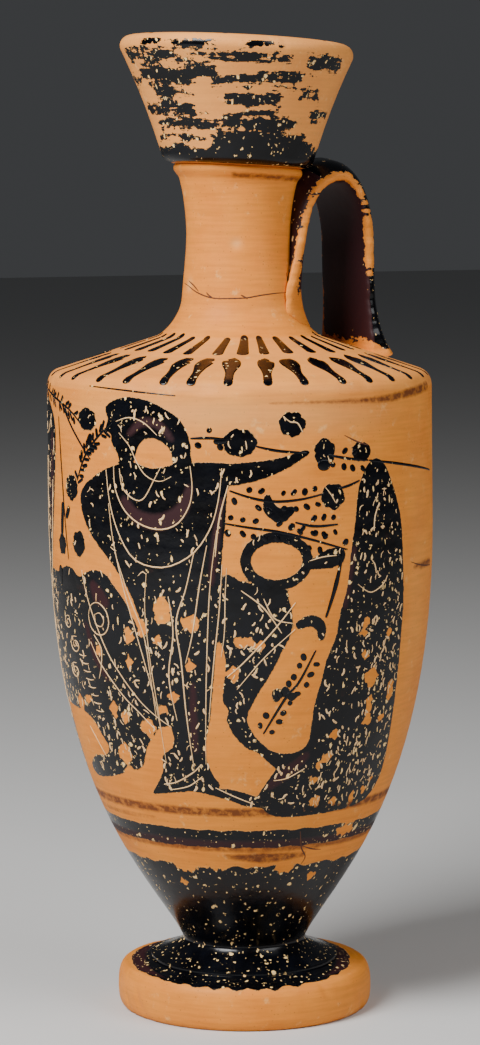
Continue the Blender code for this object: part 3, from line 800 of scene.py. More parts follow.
def handle_path():
    """Centre line in (radius, height), as four curves: the tail smeared on the neck's foot, up off
    the neck, over, and down."""
    apex = (NECK_RADIUS + APEX_REACH, MOUTH_Z + APEX_RISE - 0.5 * STRAP_EDGE - STRAP_CROWN)
    reach = NECK_RADIUS + HANDLE_REACH
    foot_radius = reach + SHOULDER_FLARE
    foot_z = NECK_Z - SHOULDER_FALL * (foot_radius - NECK_FOOT_RADIUS) - SUNK_SHARE * BODY_WALL
    drop = apex[1] - foot_z
    side = (reach, apex[1] - 0.38 * drop)
    tail = curve(TAIL, (-3.5, 4.5), ROOT, (-0.7, 14.0), 30)
    rise = curve(ROOT, (-0.6, 1.2 * (apex[1] - ROOT[1])), apex, (3.0 * APEX_REACH, 0.0), 60)[1:]
    over = curve(apex, (1.7 * (reach - apex[0]), 0.0), side, (0.0, -0.62 * drop), 60)[1:]
    fall = curve(side, (0.0, -0.6 * drop), (foot_radius, foot_z),
                 (2.5 * SHOULDER_FLARE, -0.4 * drop), 60)[1:]
    path = np.concatenate([tail, rise, over, fall])
    return paced(path, np.linalg.norm(np.diff(path, axis=0), axis=1).sum() / (STRAP_STATIONS - 1))


def strap_grid():
    """Rings of the strap. Round a ring, the angle q gives the place across, w/2 cos q raised to a
    power below 1 so that the section is a slab with round edges, and the lift, half the edge times
    sin q raised the same way; the outer side is crowned. The tail is thin and rounded off, and the
    edge that faces the camera is worn rough."""
    path = handle_path()
    direction = np.gradient(path, axis=0)
    direction /= np.linalg.norm(direction, axis=1)[:, None]
    station = np.arange(len(path))
    apex = path[:, 1].argmax()
    below_apex = np.clip((path[apex, 1] - path[:, 1]) / CLING_DROP, 0, 1)
    clinging = np.where(station < apex, below_apex, 0)[:, None]
    spreading = np.clip((station / len(path) - 0.80) / 0.20, 0, 1)[:, None] ** 2
    rounded = np.sqrt(1 - np.clip(1 - station / 6, 0, 1) ** 2)[:, None]
    thin = 0.35 + 0.65 * np.clip(station / 14, 0, 1)[:, None]
    width = STRAP_WIDTH + 2 * ROOT_FLARE * clinging**2 + 2 * SHOULDER_FLARE * spreading
    width = width * (0.7 + 0.3 * rounded)
    q = np.linspace(0, 2 * np.pi, STRAP_ROUND, endpoint=False)[None, :]
    across = 0.5 * width * np.sign(np.cos(q)) * np.abs(np.cos(q)) ** 0.36
    bumps = np.sin(0.83 * station) + np.sin(1.9 * station + 1.1) + np.sin(0.31 * station + 2.0)
    bumps = WORN_EDGE_BUMP * bumps[:, None]
    across = across + np.clip(-1.6 * np.cos(q) - 0.4, 0, 1) * bumps
    lift = 0.5 * STRAP_EDGE * thin * np.sign(np.sin(q)) * np.abs(np.sin(q)) ** 0.62
    crown = STRAP_CROWN * (1 - clinging) * (1 - (2 * across / width) ** 2) + SHOULDER_FLARE * spreading
    lift = lift + np.where(np.sin(q) > 0, crown, -1.8 * spreading)
    radius = path[:, :1] - direction[:, 1:] * lift
    height = path[:, 1:] + direction[:, :1] * lift
    bend = radius / np.maximum(clinging, 0.001)
    swing = across / bend
    x = radius - bend + bend * np.cos(swing) + math.tan(LEAN) * (0.5 * (WALL_Z + EDGE_Z) - height)
    points = np.stack([x, bend * np.sin(swing), height], axis=-1)
    share = station[:, None] / (len(path) - 1) + 0 * q
    return points, share, across / width, np.sin(q) + 0 * clinging


rings, strap_share, strap_across, strap_outer = strap_grid()
points = np.concatenate([rings[:1].mean(axis=1), rings.reshape(-1, 3), rings[-1:].mean(axis=1)])
quads, triangles = closed_skin(*rings.shape[:2])
strap_sheet = np.stack([strap_share * 100, strap_across * 20], axis=-1)
inner_side = strap_outer < -0.1
HANDLE_WORN_SPOTS = [
    (27, -10.3, 19, 1.5, 3.4), (50, -10.2, 8, 1.2, 2.6), (69, -10, 12, 1.5, 3.4), (52, 10, 34, 1.2, 2.6),
    (0, 0, 13, 30, 4.5), (100, 0, 3, 30, 4.0), (88, 10, 10, 1.8, 2.6)]
INNER_FOOT_SPOT = [(100, 0, 6, 30, 5.0)]
STRAP_SLIP_DEPTH, STRAP_WEAR, STRAP_STREAKINESS, ROOT_SHADE_UP_TO = 2.2, 0.24, 0.30, 0.42
handle_worn = spotted(strap_sheet, HANDLE_WORN_SPOTS)
handle_worn = handle_worn + inner_side * spotted(strap_sheet, INNER_FOOT_SPOT)
# Painted shade: the inner face, and the outer face of the rising limb near the root, lie in shade and are
# given the dark added red.
strap_painted_shade = np.where(inner_side, 1.0, np.where(strap_share < ROOT_SHADE_UP_TO, 0.35, NOWHERE))
handle = make_piece("strap_handle", points, quads, triangles, [
    ("slip_mm", with_ends(STRAP_SLIP_DEPTH - handle_worn)), ("red_and_shade_mm", with_ends(strap_painted_shade)),
    ("wash_mm", with_ends(np.full_like(strap_share, NOWHERE))),
    ("wear", with_ends(np.where(inner_side, 0.0, STRAP_WEAR))),
    ("streak", with_ends(np.full_like(strap_share, STRAP_STREAKINESS))),
    ("pale", with_ends(np.zeros_like(strap_share)))])
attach(handle, "root")
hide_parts("lekythos")

# %% [markdown]
# ## Strokes that follow the wall
#
# The tongues on the shoulder, the stems, leaves and dots of the vine and the scratched lines are
# too fine for the grid. Each is a stroke: a smooth line on the wall with a width that swells and
# tapers, raised by the thickness of slip and sunk a little below, so it is a thin closed body of
# its own. All strokes of a kind are worked out at once and joined in one mesh.

# %% Strokes
STROKE_ROUND = 8
STROKE_SUNK = 0.15


def stroke_stations(count):
    """Shares along a stroke, crowded at both ends so that the round ends stay round."""
    return 0.5 - 0.5 * np.cos(np.pi * np.arange(1, count) / count)


def stroke(line, half_widths, height, count=16):
    """Vertices of one stroke. The line holds (angle, run) points; local mm are r times the angle
    and the run. The half width at a place d mm from an end is W sqrt(1 - (1 - d / W)^2), at most
    W; round the stroke the lift is the height times sin q above and the sunk depth below."""
    line = smooth_line(line, closed=False, steps=10)
    radius = np.interp(line[:, 1], RUN, OUTLINE[:, 0])
    flat = np.stack([line[:, 0] * radius.mean(), line[:, 1]], axis=1)
    length = np.concatenate([[0.0], np.cumsum(np.linalg.norm(np.diff(flat, axis=0), axis=1))])
    share = stroke_stations(count)
    here = share * length[-1]
    middle = np.stack([np.interp(here, length, flat[:, k]) for k in (0, 1)], axis=1)
    heading = np.gradient(np.concatenate([flat[:1], middle, flat[-1:]]), axis=0)[1:-1]
    heading /= np.linalg.norm(heading, axis=1)[:, None]
    wide = np.interp(share, np.linspace(0, 1, len(half_widths)), half_widths)
    to_end = np.minimum(here, length[-1] - here) / wide
    wide = wide * np.sqrt(np.clip(1 - np.clip(1 - to_end, 0, 1) ** 2, 0.0, 1.0))
    q = np.linspace(0, 2 * np.pi, STROKE_ROUND, endpoint=False)
    side = np.stack([-heading[:, 1], heading[:, 0]], axis=1)
    spot = middle[:, None] + side[:, None] * (wide[:, None] * np.cos(q))[..., None]
    lift = np.where(np.sin(q) > 0, height, STROKE_SUNK) * np.sin(q) + 0.25 * height
    ends = np.stack([flat[0], flat[-1]])
    spots = np.concatenate([ends[:1], spot.reshape(-1, 2), ends[1:]])
    lifts = np.concatenate([[0.0], np.tile(lift, len(middle)), [0.0]])
    return place(spots[:, 0] / radius.mean(), spots[:, 1], lifts)


def join_strokes(name, strokes):
    """One piece from many strokes with the same number of stations."""
    count = len(strokes[0])
    stations = (count - 2) // STROKE_ROUND
    quads, triangles = closed_skin(stations, STROKE_ROUND)
    shift = (np.arange(len(strokes)) * count)[:, None, None]
    piece = make_piece(name, np.concatenate(strokes), (quads + shift).reshape(-1, 4),
                       (triangles + shift).reshape(-1, 3), sharp=180.0)
    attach(piece, "root")
    return piece


def on_wall(points):
    """Sheet places (mm round, mm up) as (angle, run)."""
    points = np.array(points, float)
    upright = np.isin(STRETCH, ("foot_rise", "stem", "picture", "edge"))
    return np.stack([points[:, 0] / BODY_RADIUS,
                     np.interp(points[:, 1], OUTLINE[upright, 1], RUN[upright])], axis=1)


def on_shoulder(angles, radii):
    """Degrees round and radius in mm, on the shoulder and its edge, as (angle, run)."""
    sloping = np.isin(STRETCH, ("edge", "shoulder", "sweep"))
    runs = np.interp(-np.array(radii), -OUTLINE[sloping, 0], RUN[sloping])
    return np.stack([np.radians(angles), runs], axis=1)


# %% Shoulder pattern
TONGUES, TONGUE_INNER, TONGUE_OUTER = 33, 37.6, 52.7
DROPS, DROP_INNER, DROP_OUTER = 30, 21.5, 33.8
SLIP_HEIGHT = 0.07
HANDLE_CLEARANCE = math.radians(27.0)
EDGE_LINE = [(-46, 177), (-33, 176.4), (-17, 175.4)]


def clear_of_handle(angle):
    """True where a stroke on the shoulder doesn't run into the foot of the handle."""
    away = (angle - HANDLE_SIDE + np.pi) % (2 * np.pi) - np.pi
    return abs(away) > HANDLE_CLEARANCE


def shoulder_strokes():
    """Tongues with comma-like heads towards the neck and tails that reach the edge; a row of short
    blunt drops inside them. Each is a little different, as the brush made it."""
    rng = np.random.default_rng(11)
    strokes = [stroke(on_wall(EDGE_LINE), [0.15, 0.25, 0.15], SLIP_HEIGHT)]
    for k in range(TONGUES):
        middle = 360.0 * k / TONGUES - 2.0 + rng.uniform(-1.2, 1.2)
        if clear_of_handle(math.radians(middle)):
            lean, head = rng.uniform(-2.0, 1.2), rng.uniform(2.1, 2.6)
            hook = rng.uniform(1.0, 4.0) if k > TONGUES // 2 else rng.uniform(-1.0, 2.0)
            top = TONGUE_INNER + rng.uniform(-0.6, 0.6)
            line = on_shoulder(
                [middle + hook, middle + 0.5 * hook, middle, middle + 0.5 * lean, middle + lean],
                [top + 0.4, top, 41.0, 46.0, TONGUE_OUTER])
            widths = [head, head * 1.15, head * 1.1, head * 0.75, 1.15, 1.0, 1.05, 1.0]
            strokes.append(stroke(line, widths, SLIP_HEIGHT))
    for k in range(DROPS):
        middle = 360.0 * k / DROPS + 3.0 + rng.uniform(-1.5, 1.5)
        if clear_of_handle(math.radians(middle)):
            fat = rng.uniform(1.05, 1.4)
            inner, outermost = DROP_INNER + rng.uniform(-0.7, 0.7), DROP_OUTER + rng.uniform(-0.8, 0.5)
            line = on_shoulder([middle, middle - 1.5, middle - 2.5], [inner, 28.0, outermost])
            strokes.append(stroke(line, [fat * 0.95, fat, fat, fat * 1.05, fat * 1.1], SLIP_HEIGHT))
    return strokes


# %% Vine
STEMS = [
    [(-13.2, 164.2), (-8, 164.4), (-3, 164)], [(4, 162.3), (10, 161), (18, 160.3)],
    [(24, 159.6), (30, 158.4), (37, 157.6)], [(37, 157.6), (46, 156.4), (58, 154.6), (72, 152.4)],
    [(-3, 150.6), (3, 148.6), (9, 147.6), (16, 148), (23, 149.4)],
    [(-4.5, 141.9), (2, 140.8), (10, 139.6), (18, 137.6), (24, 135.8), (30, 134)],
    [(27, 150.5), (30.5, 151.2), (34, 152.4)], [(6.2, 84.7), (12.8, 95), (16.3, 98.8), (21, 107.5)],
    [(-78, 175), (-66, 172.8), (-56, 170.2), (-50, 166.8)],
    [(-61, 172), (-53.5, 164.5), (-45.5, 157.2)], [(-52, 151), (-48, 158), (-43, 163), (-37, 167.5)],
    [(-63, 168), (-61.5, 155), (-59.5, 141), (-57.5, 129)],
    [(14.5, 142), (20, 140.8), (27, 141)],
]
STEM_WIDTHS = [0.25, 0.42, 0.38, 0.25]
BERRIES = [
    (22.8, 157, 1.9, 1.6, 0), (-61.2, 140, 4.6, 1.1, 85), (-64, 124, 3.0, 1.6, 80),
    (-5.2, 163.6, 1.8, 0.9, 5), (-57.5, 142, 2.0, 1.0, 60), (-46, 162.4, 2.0, 1.1, 60),
]
DOT_PITCH, DOT_OFFSET, DOT_LONG, DOT_WIDE, DOT_LOST = 3.2, 2.1, 0.95, 0.75, 0.28
DOTTED, BUSHY = [0, 2, 4, 5, 7, 12], [8, 10]
BUSHY_PITCH, BUSHY_OFFSET, BUSHY_LONG, BUSHY_WIDE = 1.7, 1.2, 1.3, 0.55
TWIG, TWIG_WIDTHS = [(28.6, 134.5), (26.5, 125), (23.6, 116)], [0.3, 0.7, 0.35]
BACK_BRANCHES, BACK_PITCH, BACK_OFFSET = (150.0, 122.0, 92.0), 5.0, 2.2


def leaf(x, z, long, wide, tilt):
    """One blob: a short fat stroke about its middle, turned by the tilt in degrees."""
    reach = long * np.array((math.cos(math.radians(tilt)), math.sin(math.radians(tilt))))
    middle = np.array((x, z))
    return stroke(on_wall([middle - reach, middle, middle + reach]), [wide * 0.9, wide, wide * 0.9],
                  SLIP_HEIGHT)


def dots_along(line, pitch, offset, long, wide, rng):
    """Small oval dabs on both sides of a stem, a pair each pitch, a bit uneven and some worn off."""
    line = smooth_line(line, closed=False)
    length = np.concatenate([[0.0], np.cumsum(np.linalg.norm(np.diff(line, axis=0), axis=1))])
    dabs = []
    for here in np.arange(0.6 * pitch, length[-1] - 0.3 * pitch, pitch):
        for side in (-1, 1):
            if rng.uniform() < DOT_LOST:
                continue
            at = here + rng.uniform(-0.4, 0.4)
            spot, ahead = (
                np.array([np.interp(s, length, line[:, k]) for k in (0, 1)]) for s in (at, at + 0.5))
            heading = (ahead - spot) / max(np.linalg.norm(ahead - spot), 1e-6)
            normal = np.array((-heading[1], heading[0])) * side * (offset + rng.uniform(-0.3, 0.3))
            tilt = math.degrees(math.atan2(heading[1], heading[0])) + side * rng.uniform(30, 70)
            size = long * rng.uniform(0.8, 1.2), wide * rng.uniform(0.8, 1.2)
            dabs.append(leaf(*(spot + normal), *size, tilt))
    return dabs


def back_vine(rng):
    """Plainer branches for the unseen side: wavy stems with a leaf at each bend."""
    strokes = []
    for base in BACK_BRANCHES:
        x = np.linspace(98.0, 236.0, 12)
        z = base + 5.0 * np.sin(x / 11.0)
        strokes.append(stroke(on_wall(np.stack([x, z], axis=1)), [0.35, 0.45, 0.45, 0.35], SLIP_HEIGHT))
        for k in range(11):
            side = 1 if k % 2 else -1
            size = rng.uniform(2.6, 3.4), rng.uniform(2.1, 2.7)
            strokes.append(leaf(x[k] + 5, z[k] + side * 5.5, *size, rng.uniform(0, 180)))
        strokes += dots_along(np.stack([x, z], axis=1), BACK_PITCH, BACK_OFFSET, DOT_LONG, DOT_WIDE, rng)
    return strokes


def vine_strokes():
    """Stems, berries, the dabs along the stems, a bare twig and the plainer branches behind."""
    rng = np.random.default_rng(23)
    strokes = [stroke(on_wall(line), STEM_WIDTHS, SLIP_HEIGHT) for line in STEMS]
    strokes += [leaf(*berry) for berry in BERRIES]
    for k in DOTTED:
        strokes += dots_along(STEMS[k], DOT_PITCH, DOT_OFFSET, DOT_LONG, DOT_WIDE, rng)
    for k in BUSHY:
        strokes += dots_along(STEMS[k], BUSHY_PITCH, BUSHY_OFFSET, BUSHY_LONG, BUSHY_WIDE, rng)
    strokes.append(stroke(on_wall(TWIG), TWIG_WIDTHS, SLIP_HEIGHT))
    return strokes + back_vine(rng)


brushwork = join_strokes("slip_brushwork", shoulder_strokes() + vine_strokes())

# %% Scratched lines
SCRATCH_HALF, SCRATCH_HEIGHT = 0.17, 0.06
LONG_COUNT = 40
SCRATCHES = [
    [(-36.5, 156), (-36, 150), (-33, 144.5), (-28, 141), (-22, 139.8), (-17, 141.5), (-13.8, 146),
     (-12.8, 151), (-13.3, 157)],
    [(-39.3, 155), (-38, 146), (-35, 138), (-30.5, 131.8), (-25, 129.8), (-19, 130.2), (-12.5, 134),
     (-8, 140.5), (-5.8, 148), (-4.8, 156.5)],
    [(-34.5, 155.5), (-33.5, 150.5), (-30, 147.6), (-26.8, 147.8), (-23.5, 153), (-21.5, 156.5)],
    [(-35.5, 168), (-31, 169.2), (-26.5, 168), (-22.5, 164.8)],
    [(-34.5, 165), (-31, 161.5), (-28.8, 157.5), (-26, 154), (-22, 152.6), (-18.5, 154)],
    [(-38.5, 146), (-37, 136), (-33.5, 122), (-29.5, 108), (-26.4, 95), (-25, 84)],
    [(-36.5, 133), (-32, 121), (-28, 111), (-26.8, 100), (-26.2, 88)],
    [(-26.3, 128), (-27.2, 118), (-26.5, 104), (-25.3, 90), (-24.8, 76)],
    [(-29, 127), (-27.5, 128.2), (-26.3, 127.6)],
    [(-12.5, 134), (-15, 124), (-18, 115), (-17, 104), (-16.5, 90), (-15.5, 75)],
    [(-9, 136), (-11, 126), (-13.5, 112), (-15.8, 104)],
    [(-6.3, 140), (-8.3, 125), (-9.5, 108), (-10.5, 92), (-11.5, 76)],
    [(-5, 131), (-6, 118), (-7.8, 104), (-9.8, 88)],
    [(-3.2, 152), (-5.6, 143), (-6.8, 133)],
    [(-20, 122), (-19, 112), (-21, 100), (-19.5, 88)],
    [(-27, 69.5), (-22, 70.5), (-16, 73.5), (-13, 76)], [(-25, 68), (-18, 69.5), (-13, 72.5)],
    [(-50.5, 127), (-48.5, 120), (-45, 112), (-41, 104.5), (-36, 98), (-31, 92.5), (-26.5, 89),
     (-21.5, 86)],
    [(-48.5, 107.5), (-45.5, 102.5), (-41.5, 98), (-36.5, 93), (-31.5, 89), (-27, 85)],
    [(-3.8, 130), (-4.3, 122), (-4.6, 113), (-5.6, 106)],
    [(-48.4, 114.8), (-47, 117.6), (-43.8, 118.6), (-40.8, 116.6), (-40, 113.2), (-41.8, 110.4),
     (-45, 109.8), (-47.6, 111.6), (-48.4, 114.8)],
    [(-45.6, 115.2), (-43.4, 115.8), (-41.9, 114), (-43, 112.2), (-45.2, 112.6), (-45.6, 115.2)],
    [(-46.6, 109.6), (-44, 106), (-44.8, 101), (-46.4, 97.5)],
    [(-56.5, 83), (-53.8, 79.5), (-50.5, 75)],
    [(41, 146), (39.4, 142.5), (39, 138.5)], [(38, 131), (39.4, 129.4), (40, 127)],
    [(33.5, 124.5), (38, 122), (42.5, 123.6), (44.5, 126)],
    [(0, 124), (6, 119.3), (11, 112.4)], [(14.8, 120.6), (8.6, 113), (0.6, 104.6), (-4.2, 100.5)],
    [(14.8, 113.4), (6.4, 106), (-1.4, 97.2)], [(6, 121.8), (9, 116.4), (14, 115)],
    [(20, 74.5), (14.5, 72), (10, 71.4)], [(-9, 69.4), (-3, 67), (4, 64.6)],
    [(-70, 168), (-74, 163.5), (-80, 162)], [(-69.5, 150), (-72, 130), (-78, 112), (-80, 88)],
    [(-78, 156), (-82, 136), (-84.5, 110), (-84, 80)], [(-88, 148), (-89.4, 124), (-87.6, 98)],
    [(18.6, 131.6), (22.5, 132.5), (26.5, 132.7)], [(23.2, 151), (25, 148.8), (26.2, 146.8)],
    [(11.8, 169.8), (13.4, 168.6), (15.4, 168.2), (16.8, 165.8)],
]
MANE_STROKES, CURLS = 8, [(-57.2, 105.6, 2.6), (-59.3, 98.2, 2.4), (-60.5, 111.5, 2.0)]


def curl(x, z, size):
    """A small spiral: the radius shrinks evenly over one and a half turns."""
    t = np.linspace(0, 1, 12)
    turn, radius = 2 * np.pi * 1.5 * t + 1.2, size * (1 - 0.75 * t)
    return np.stack([x + radius * np.cos(turn) / 0.8, z + radius * np.sin(turn)], axis=1)


def scratch_strokes():
    """The drawn lines, the curls and a row of short strokes for the mane, each a little different
    in width."""
    lines = list(SCRATCHES) + [curl(*c) for c in CURLS]
    for k in range(MANE_STROKES):
        t = k / (MANE_STROKES - 1)
        x, z = -53.5 + 5.0 * t, 103.0 - 15.0 * t
        lines.append([(x - 1.9, z + 0.25), (x, z), (x + 1.9, z + 0.2)])
    rng = np.random.default_rng(5)
    return [stroke(on_wall(line), SCRATCH_HALF * rng.uniform(0.8, 1.25) * np.array([0.6, 1, 1, 0.6]),
                   SLIP_HEIGHT + SCRATCH_HEIGHT, count=LONG_COUNT) for line in lines]


# %% [markdown]
# ## Nicks
#
# Where a grain of lime or a scratch went through the slip, it left a small pale nick: a slit, an
# oval or a crescent. They are strewn over the black by chance, closer where the wear is high, and
# stand upright more often than not, so they are drawn by the same strokes as the scratched lines.

# %% Nicks
NICKS_TRIED, NICK_MARGIN, NICK_COUNT = 3400, 0.5, 8
NICK_FIELD = (-84, 56), (63, 174)
NICK_CHANCE, NICK_CHANCE_WORN = 0.20, 1.7


def nick_strokes():
    """Tries chance places on the picture and keeps those well inside the black, with a chance that
    grows with the wear there. Each nick is a short arc: its middle stands off its chord."""
    rng = np.random.default_rng(41)
    spots = np.stack([rng.uniform(*span, NICKS_TRIED) for span in NICK_FIELD], axis=1)
    chance = NICK_CHANCE + NICK_CHANCE_WORN * spotted(spots, WORN_SPOTS)
    kept = (black_figures(spots) > NICK_MARGIN) & (rng.uniform(size=NICKS_TRIED) < chance)
    strokes = []
    for x, z in spots[kept]:
        long, tilt, bow = rng.uniform(0.35, 1.2), rng.normal(np.pi / 2, 0.55), rng.uniform(-0.45, 0.45)
        step = long * np.array((np.cos(tilt), np.sin(tilt)))
        bowed = bow * np.array((-step[1], step[0]))
        middle = np.array((x, z))
        wide = rng.uniform(0.10, 0.36)
        line = on_wall([middle - step, middle + bowed, middle + step])
        strokes.append(stroke(line, [wide * 0.7, wide, wide * 0.7], SLIP_HEIGHT, count=NICK_COUNT))
    return strokes


scratches = join_strokes("scratched_lines", scratch_strokes())
nicks = join_strokes("lime_nicks", nick_strokes())

# %% Cracks
CRACK_HALF, CRACK_TIP, CRACK_HEIGHT = 0.21, 0.08, 0.03


def neck_crack():
    """The break round the neck, in degrees and mm of height, with the short spurs at its ends."""
    upright = np.isin(STRETCH, ("sweep", "neck"))
    lines = [
        [(-74, 203.4), (-62, 202.8), (-45, 201), (-27, 199.7), (-10, 199.6), (8, 199.8), (22, 200.4),
         (40, 200.9), (58, 201)],
        [(-62, 204.2), (-52, 203), (-44, 201.4)], [(60, 206.5), (62, 203.2), (60, 201)],
        [(-34, 201.2), (-31, 200.4), (-27, 199.9)], [(2, 200.6), (6, 200), (9, 199.5)],
    ]
    strokes, widths = [], [0.10, CRACK_HALF, 0.2, CRACK_HALF, CRACK_TIP]
    for degrees, heights in (np.array(line).T for line in lines):
        runs = np.interp(heights, OUTLINE[upright, 1], RUN[upright])
        line = np.stack([np.radians(degrees), runs], axis=1)
        strokes.append(stroke(line, widths, CRACK_HEIGHT, count=LONG_COUNT))
    return strokes


def body_cracks():
    """Hairline cracks in the wall, on the sheet."""
    lines = [
        [(56, 128.6), (60, 127.6), (66, 126.6), (73, 126)],
        [(22, 56), (24, 51), (27, 48), (26, 45.6)], [(24, 51.5), (29, 50.2), (34, 49.6)],
        [(29, 164.6), (33, 162.8), (37, 161.6)],
    ]
    widths = [CRACK_TIP, CRACK_HALF, CRACK_HALF, CRACK_TIP]
    return [stroke(on_wall(line), widths, CRACK_HEIGHT, count=LONG_COUNT) for line in lines]


cracks = join_strokes("crack_lines", neck_crack() + body_cracks())

# %% [markdown]
# ## Materials
#
# Attic clay fires to a warm orange. It is dense and was burnished, so it has a low sheen: a
# roughness near 0.5. The black is not paint but a film of the same clay, so fine that it fused:
# new, it has an IOR of about 1.5 and a roughness near 0.2. Here the ground has dulled it a little,
# and the IOR and the strength of the sheen are matched to what the eye sees. Where the film flaked
# off, the clay under it is paler, because it was never rubbed by hands. The scale of every pattern
# below is worked out from a size in mm.


# %% Tools for materials
def linear(code):
    """sRGB hex to linear RGBA: (c / 12.92) below 0.04045, else ((c + 0.055) / 1.055)^2.4."""
    c = np.array([int(code[k:k + 2], 16) for k in (1, 3, 5)]) / 255
    return (*np.where(c <= 0.04045, c / 12.92, ((c + 0.055) / 1.055) ** 2.4), 1.0)


def per_mm(size):
    """Texture scale, in features per metre, of a pattern whose features are so many mm apart."""
    return 1.0 / (size * MM)


def add(tree, kind, inputs=(), **settings):
    """Adds a node: settings are its own properties, and inputs gives a value or another node's
    socket for each input, by name or number."""
    node = tree.nodes.new(kind)
    for key, value in settings.items():
        setattr(node, key, value)
    for key, value in dict(inputs).items():
        if isinstance(value, bpy.types.NodeSocket):
            tree.links.new(value, node.inputs[key])
        else:
            node.inputs[key].default_value = value
    return node


def new_material(name):
    """An empty node tree with its output and one Principled shader."""
    made = bpy.data.materials.new(name)
    made.use_nodes = True
    tree = made.node_tree
    tree.nodes.clear()
    output = add(tree, "ShaderNodeOutputMaterial")
    shader = add(tree, "ShaderNodeBsdfPrincipled")
    tree.links.new(shader.outputs[0], output.inputs[0])
    return made, tree, shader


# %% Patterns shared by clay and slip
CLAY, CLAY_PALE, CLAY_DEEP, CLAY_DIRT = "#DF8028", "#ECA042", "#BC621D", "#6E4326"
CLAY_CREAM, FLAKED_CLAY = "#EDBE80", "#F0C987"
SLIP_BLACK, SLIP_BLUE, SLIP_BROWN = "#030305", "#080A10", "#2A1510"
# The dull purple-red laid over the black. On the handle the same colour is painted shade.
ADDED_RED_AND_SHADE, WASH_BROWN = "#301317", "#5E301C"
CLOUD_SHARE = 0.65
SCRATCH_DUSTY, SCRATCH_CLEAN = "#C9955C", "#F0CF9C"
DIRT_DARK, DIRT_LIGHT = "#2A140A", "#6B3A1E"
FLOOR_GREY, STUDIO_GREY, STUDIO_STRENGTH = "#C9C8C6", "#B9BCC0", 0.10


def clay_colour(tree, place):
    """Orange clay: cloudy at 16 mm, wheel marks drawn out round the pot, pale rubbed spots and specks
    of dark grit."""
    cloud = add(tree, "ShaderNodeTexNoise", {
        "Vector": place, "Scale": per_mm(16.0), "Detail": 6.0, "Roughness": 0.68})
    tone = add(tree, "ShaderNodeMix", {
        0: cloud.outputs["Fac"], 6: linear(CLAY_DEEP), 7: linear(CLAY_PALE)}, data_type="RGBA")
    soft = add(tree, "ShaderNodeMix", {
        0: CLOUD_SHARE, 6: linear(CLAY), 7: tone.outputs[2]}, data_type="RGBA")
    long_way = add(tree, "ShaderNodeMapping", {"Vector": place, "Scale": (0.07, 0.07, 1.0)})
    marks = add(tree, "ShaderNodeTexNoise", {
        "Vector": long_way.outputs[0], "Scale": per_mm(0.9), "Detail": 5.0})
    marked = add(tree, "ShaderNodeMapRange", {
        "Value": marks.outputs["Fac"], 1: 0.35, 2: 0.65, 3: 0.92, 4: 1.06})
    wheel = add(tree, "ShaderNodeMix", {
        0: 1.0, 6: soft.outputs[2], 7: marked.outputs[0]}, data_type="RGBA", blend_type="MULTIPLY")
    rub = add(tree, "ShaderNodeTexNoise", {
        "Vector": place, "Scale": per_mm(5.0), "Detail": 6.0, "Roughness": 0.7})
    rubbed = add(tree, "ShaderNodeMapRange", {
        "Value": rub.outputs["Fac"], 1: 0.60, 2: 0.74, 3: 0.0, 4: 0.45})
    pale = add(tree, "ShaderNodeMix", {
        0: rubbed.outputs[0], 6: wheel.outputs[2], 7: linear(FLAKED_CLAY)}, data_type="RGBA")
    grit = add(tree, "ShaderNodeTexVoronoi", {"Vector": place, "Scale": per_mm(1.7)})
    speck = add(tree, "ShaderNodeMapRange", {
        "Value": grit.outputs["Distance"], 1: 0.05, 2: 0.13, 3: 0.5, 4: 0.0})
    return add(tree, "ShaderNodeMix", {
        0: speck.outputs[0], 6: pale.outputs[2], 7: linear(CLAY_DIRT)}, data_type="RGBA").outputs[2]


def chips(tree, place, wear, cell, widest, seed):
    """Lost flakes: each Voronoi cell draws two numbers. Where the wear is above the first, the cell
    loses a chip of 3 (wear - number) cells in radius, at most a share of the widest that the second
    sets. A noise bends the chips and bites into them, so that they are ovals and crescents."""
    wander = add(tree, "ShaderNodeTexNoise", {"Vector": place, "Scale": per_mm(cell * 0.55), "Detail": 2.0})
    off = add(tree, "ShaderNodeVectorMath", {
        0: wander.outputs["Color"], 1: (0.5, 0.5, 0.5)}, operation="SUBTRACT")
    moved = add(tree, "ShaderNodeVectorMath", {
        0: off.outputs[0], 1: (cell * MM * 0.8,) * 3, 2: place}, operation="MULTIPLY_ADD")
    shifted = add(tree, "ShaderNodeVectorMath", {
        0: moved.outputs[0], 1: (seed, seed * 0.37, -seed)}, operation="ADD")
    cells = add(tree, "ShaderNodeTexVoronoi", {"Vector": shifted.outputs[0], "Scale": per_mm(cell)})
    number = add(tree, "ShaderNodeSeparateColor", {0: cells.outputs["Color"]})
    over = add(tree, "ShaderNodeMath", {0: wear, 1: number.outputs[0]}, operation="SUBTRACT")
    wide = add(tree, "ShaderNodeMath", {0: over.outputs[0], 1: 3.0}, operation="MULTIPLY")
    most = add(tree, "ShaderNodeMapRange", {"Value": number.outputs[1], 3: 0.45 * widest, 4: widest})
    radius = add(tree, "ShaderNodeMath", {0: wide.outputs[0], 1: most.outputs[0]}, operation="MINIMUM")
    disc = add(tree, "ShaderNodeMath", {
        0: radius.outputs[0], 1: cells.outputs["Distance"]}, operation="SUBTRACT")
    bite = add(tree, "ShaderNodeMapRange", {
        "Value": wander.outputs["Fac"], 1: 0.38, 2: 0.62, 3: -0.03, 4: 0.45})
    inside = add(tree, "ShaderNodeMath", {0: disc.outputs[0], 1: bite.outputs[0]}, operation="MINIMUM")
    return add(tree, "ShaderNodeMapRange", {"Value": inside.outputs[0], 1: -0.02, 2: 0.04}).outputs[0]


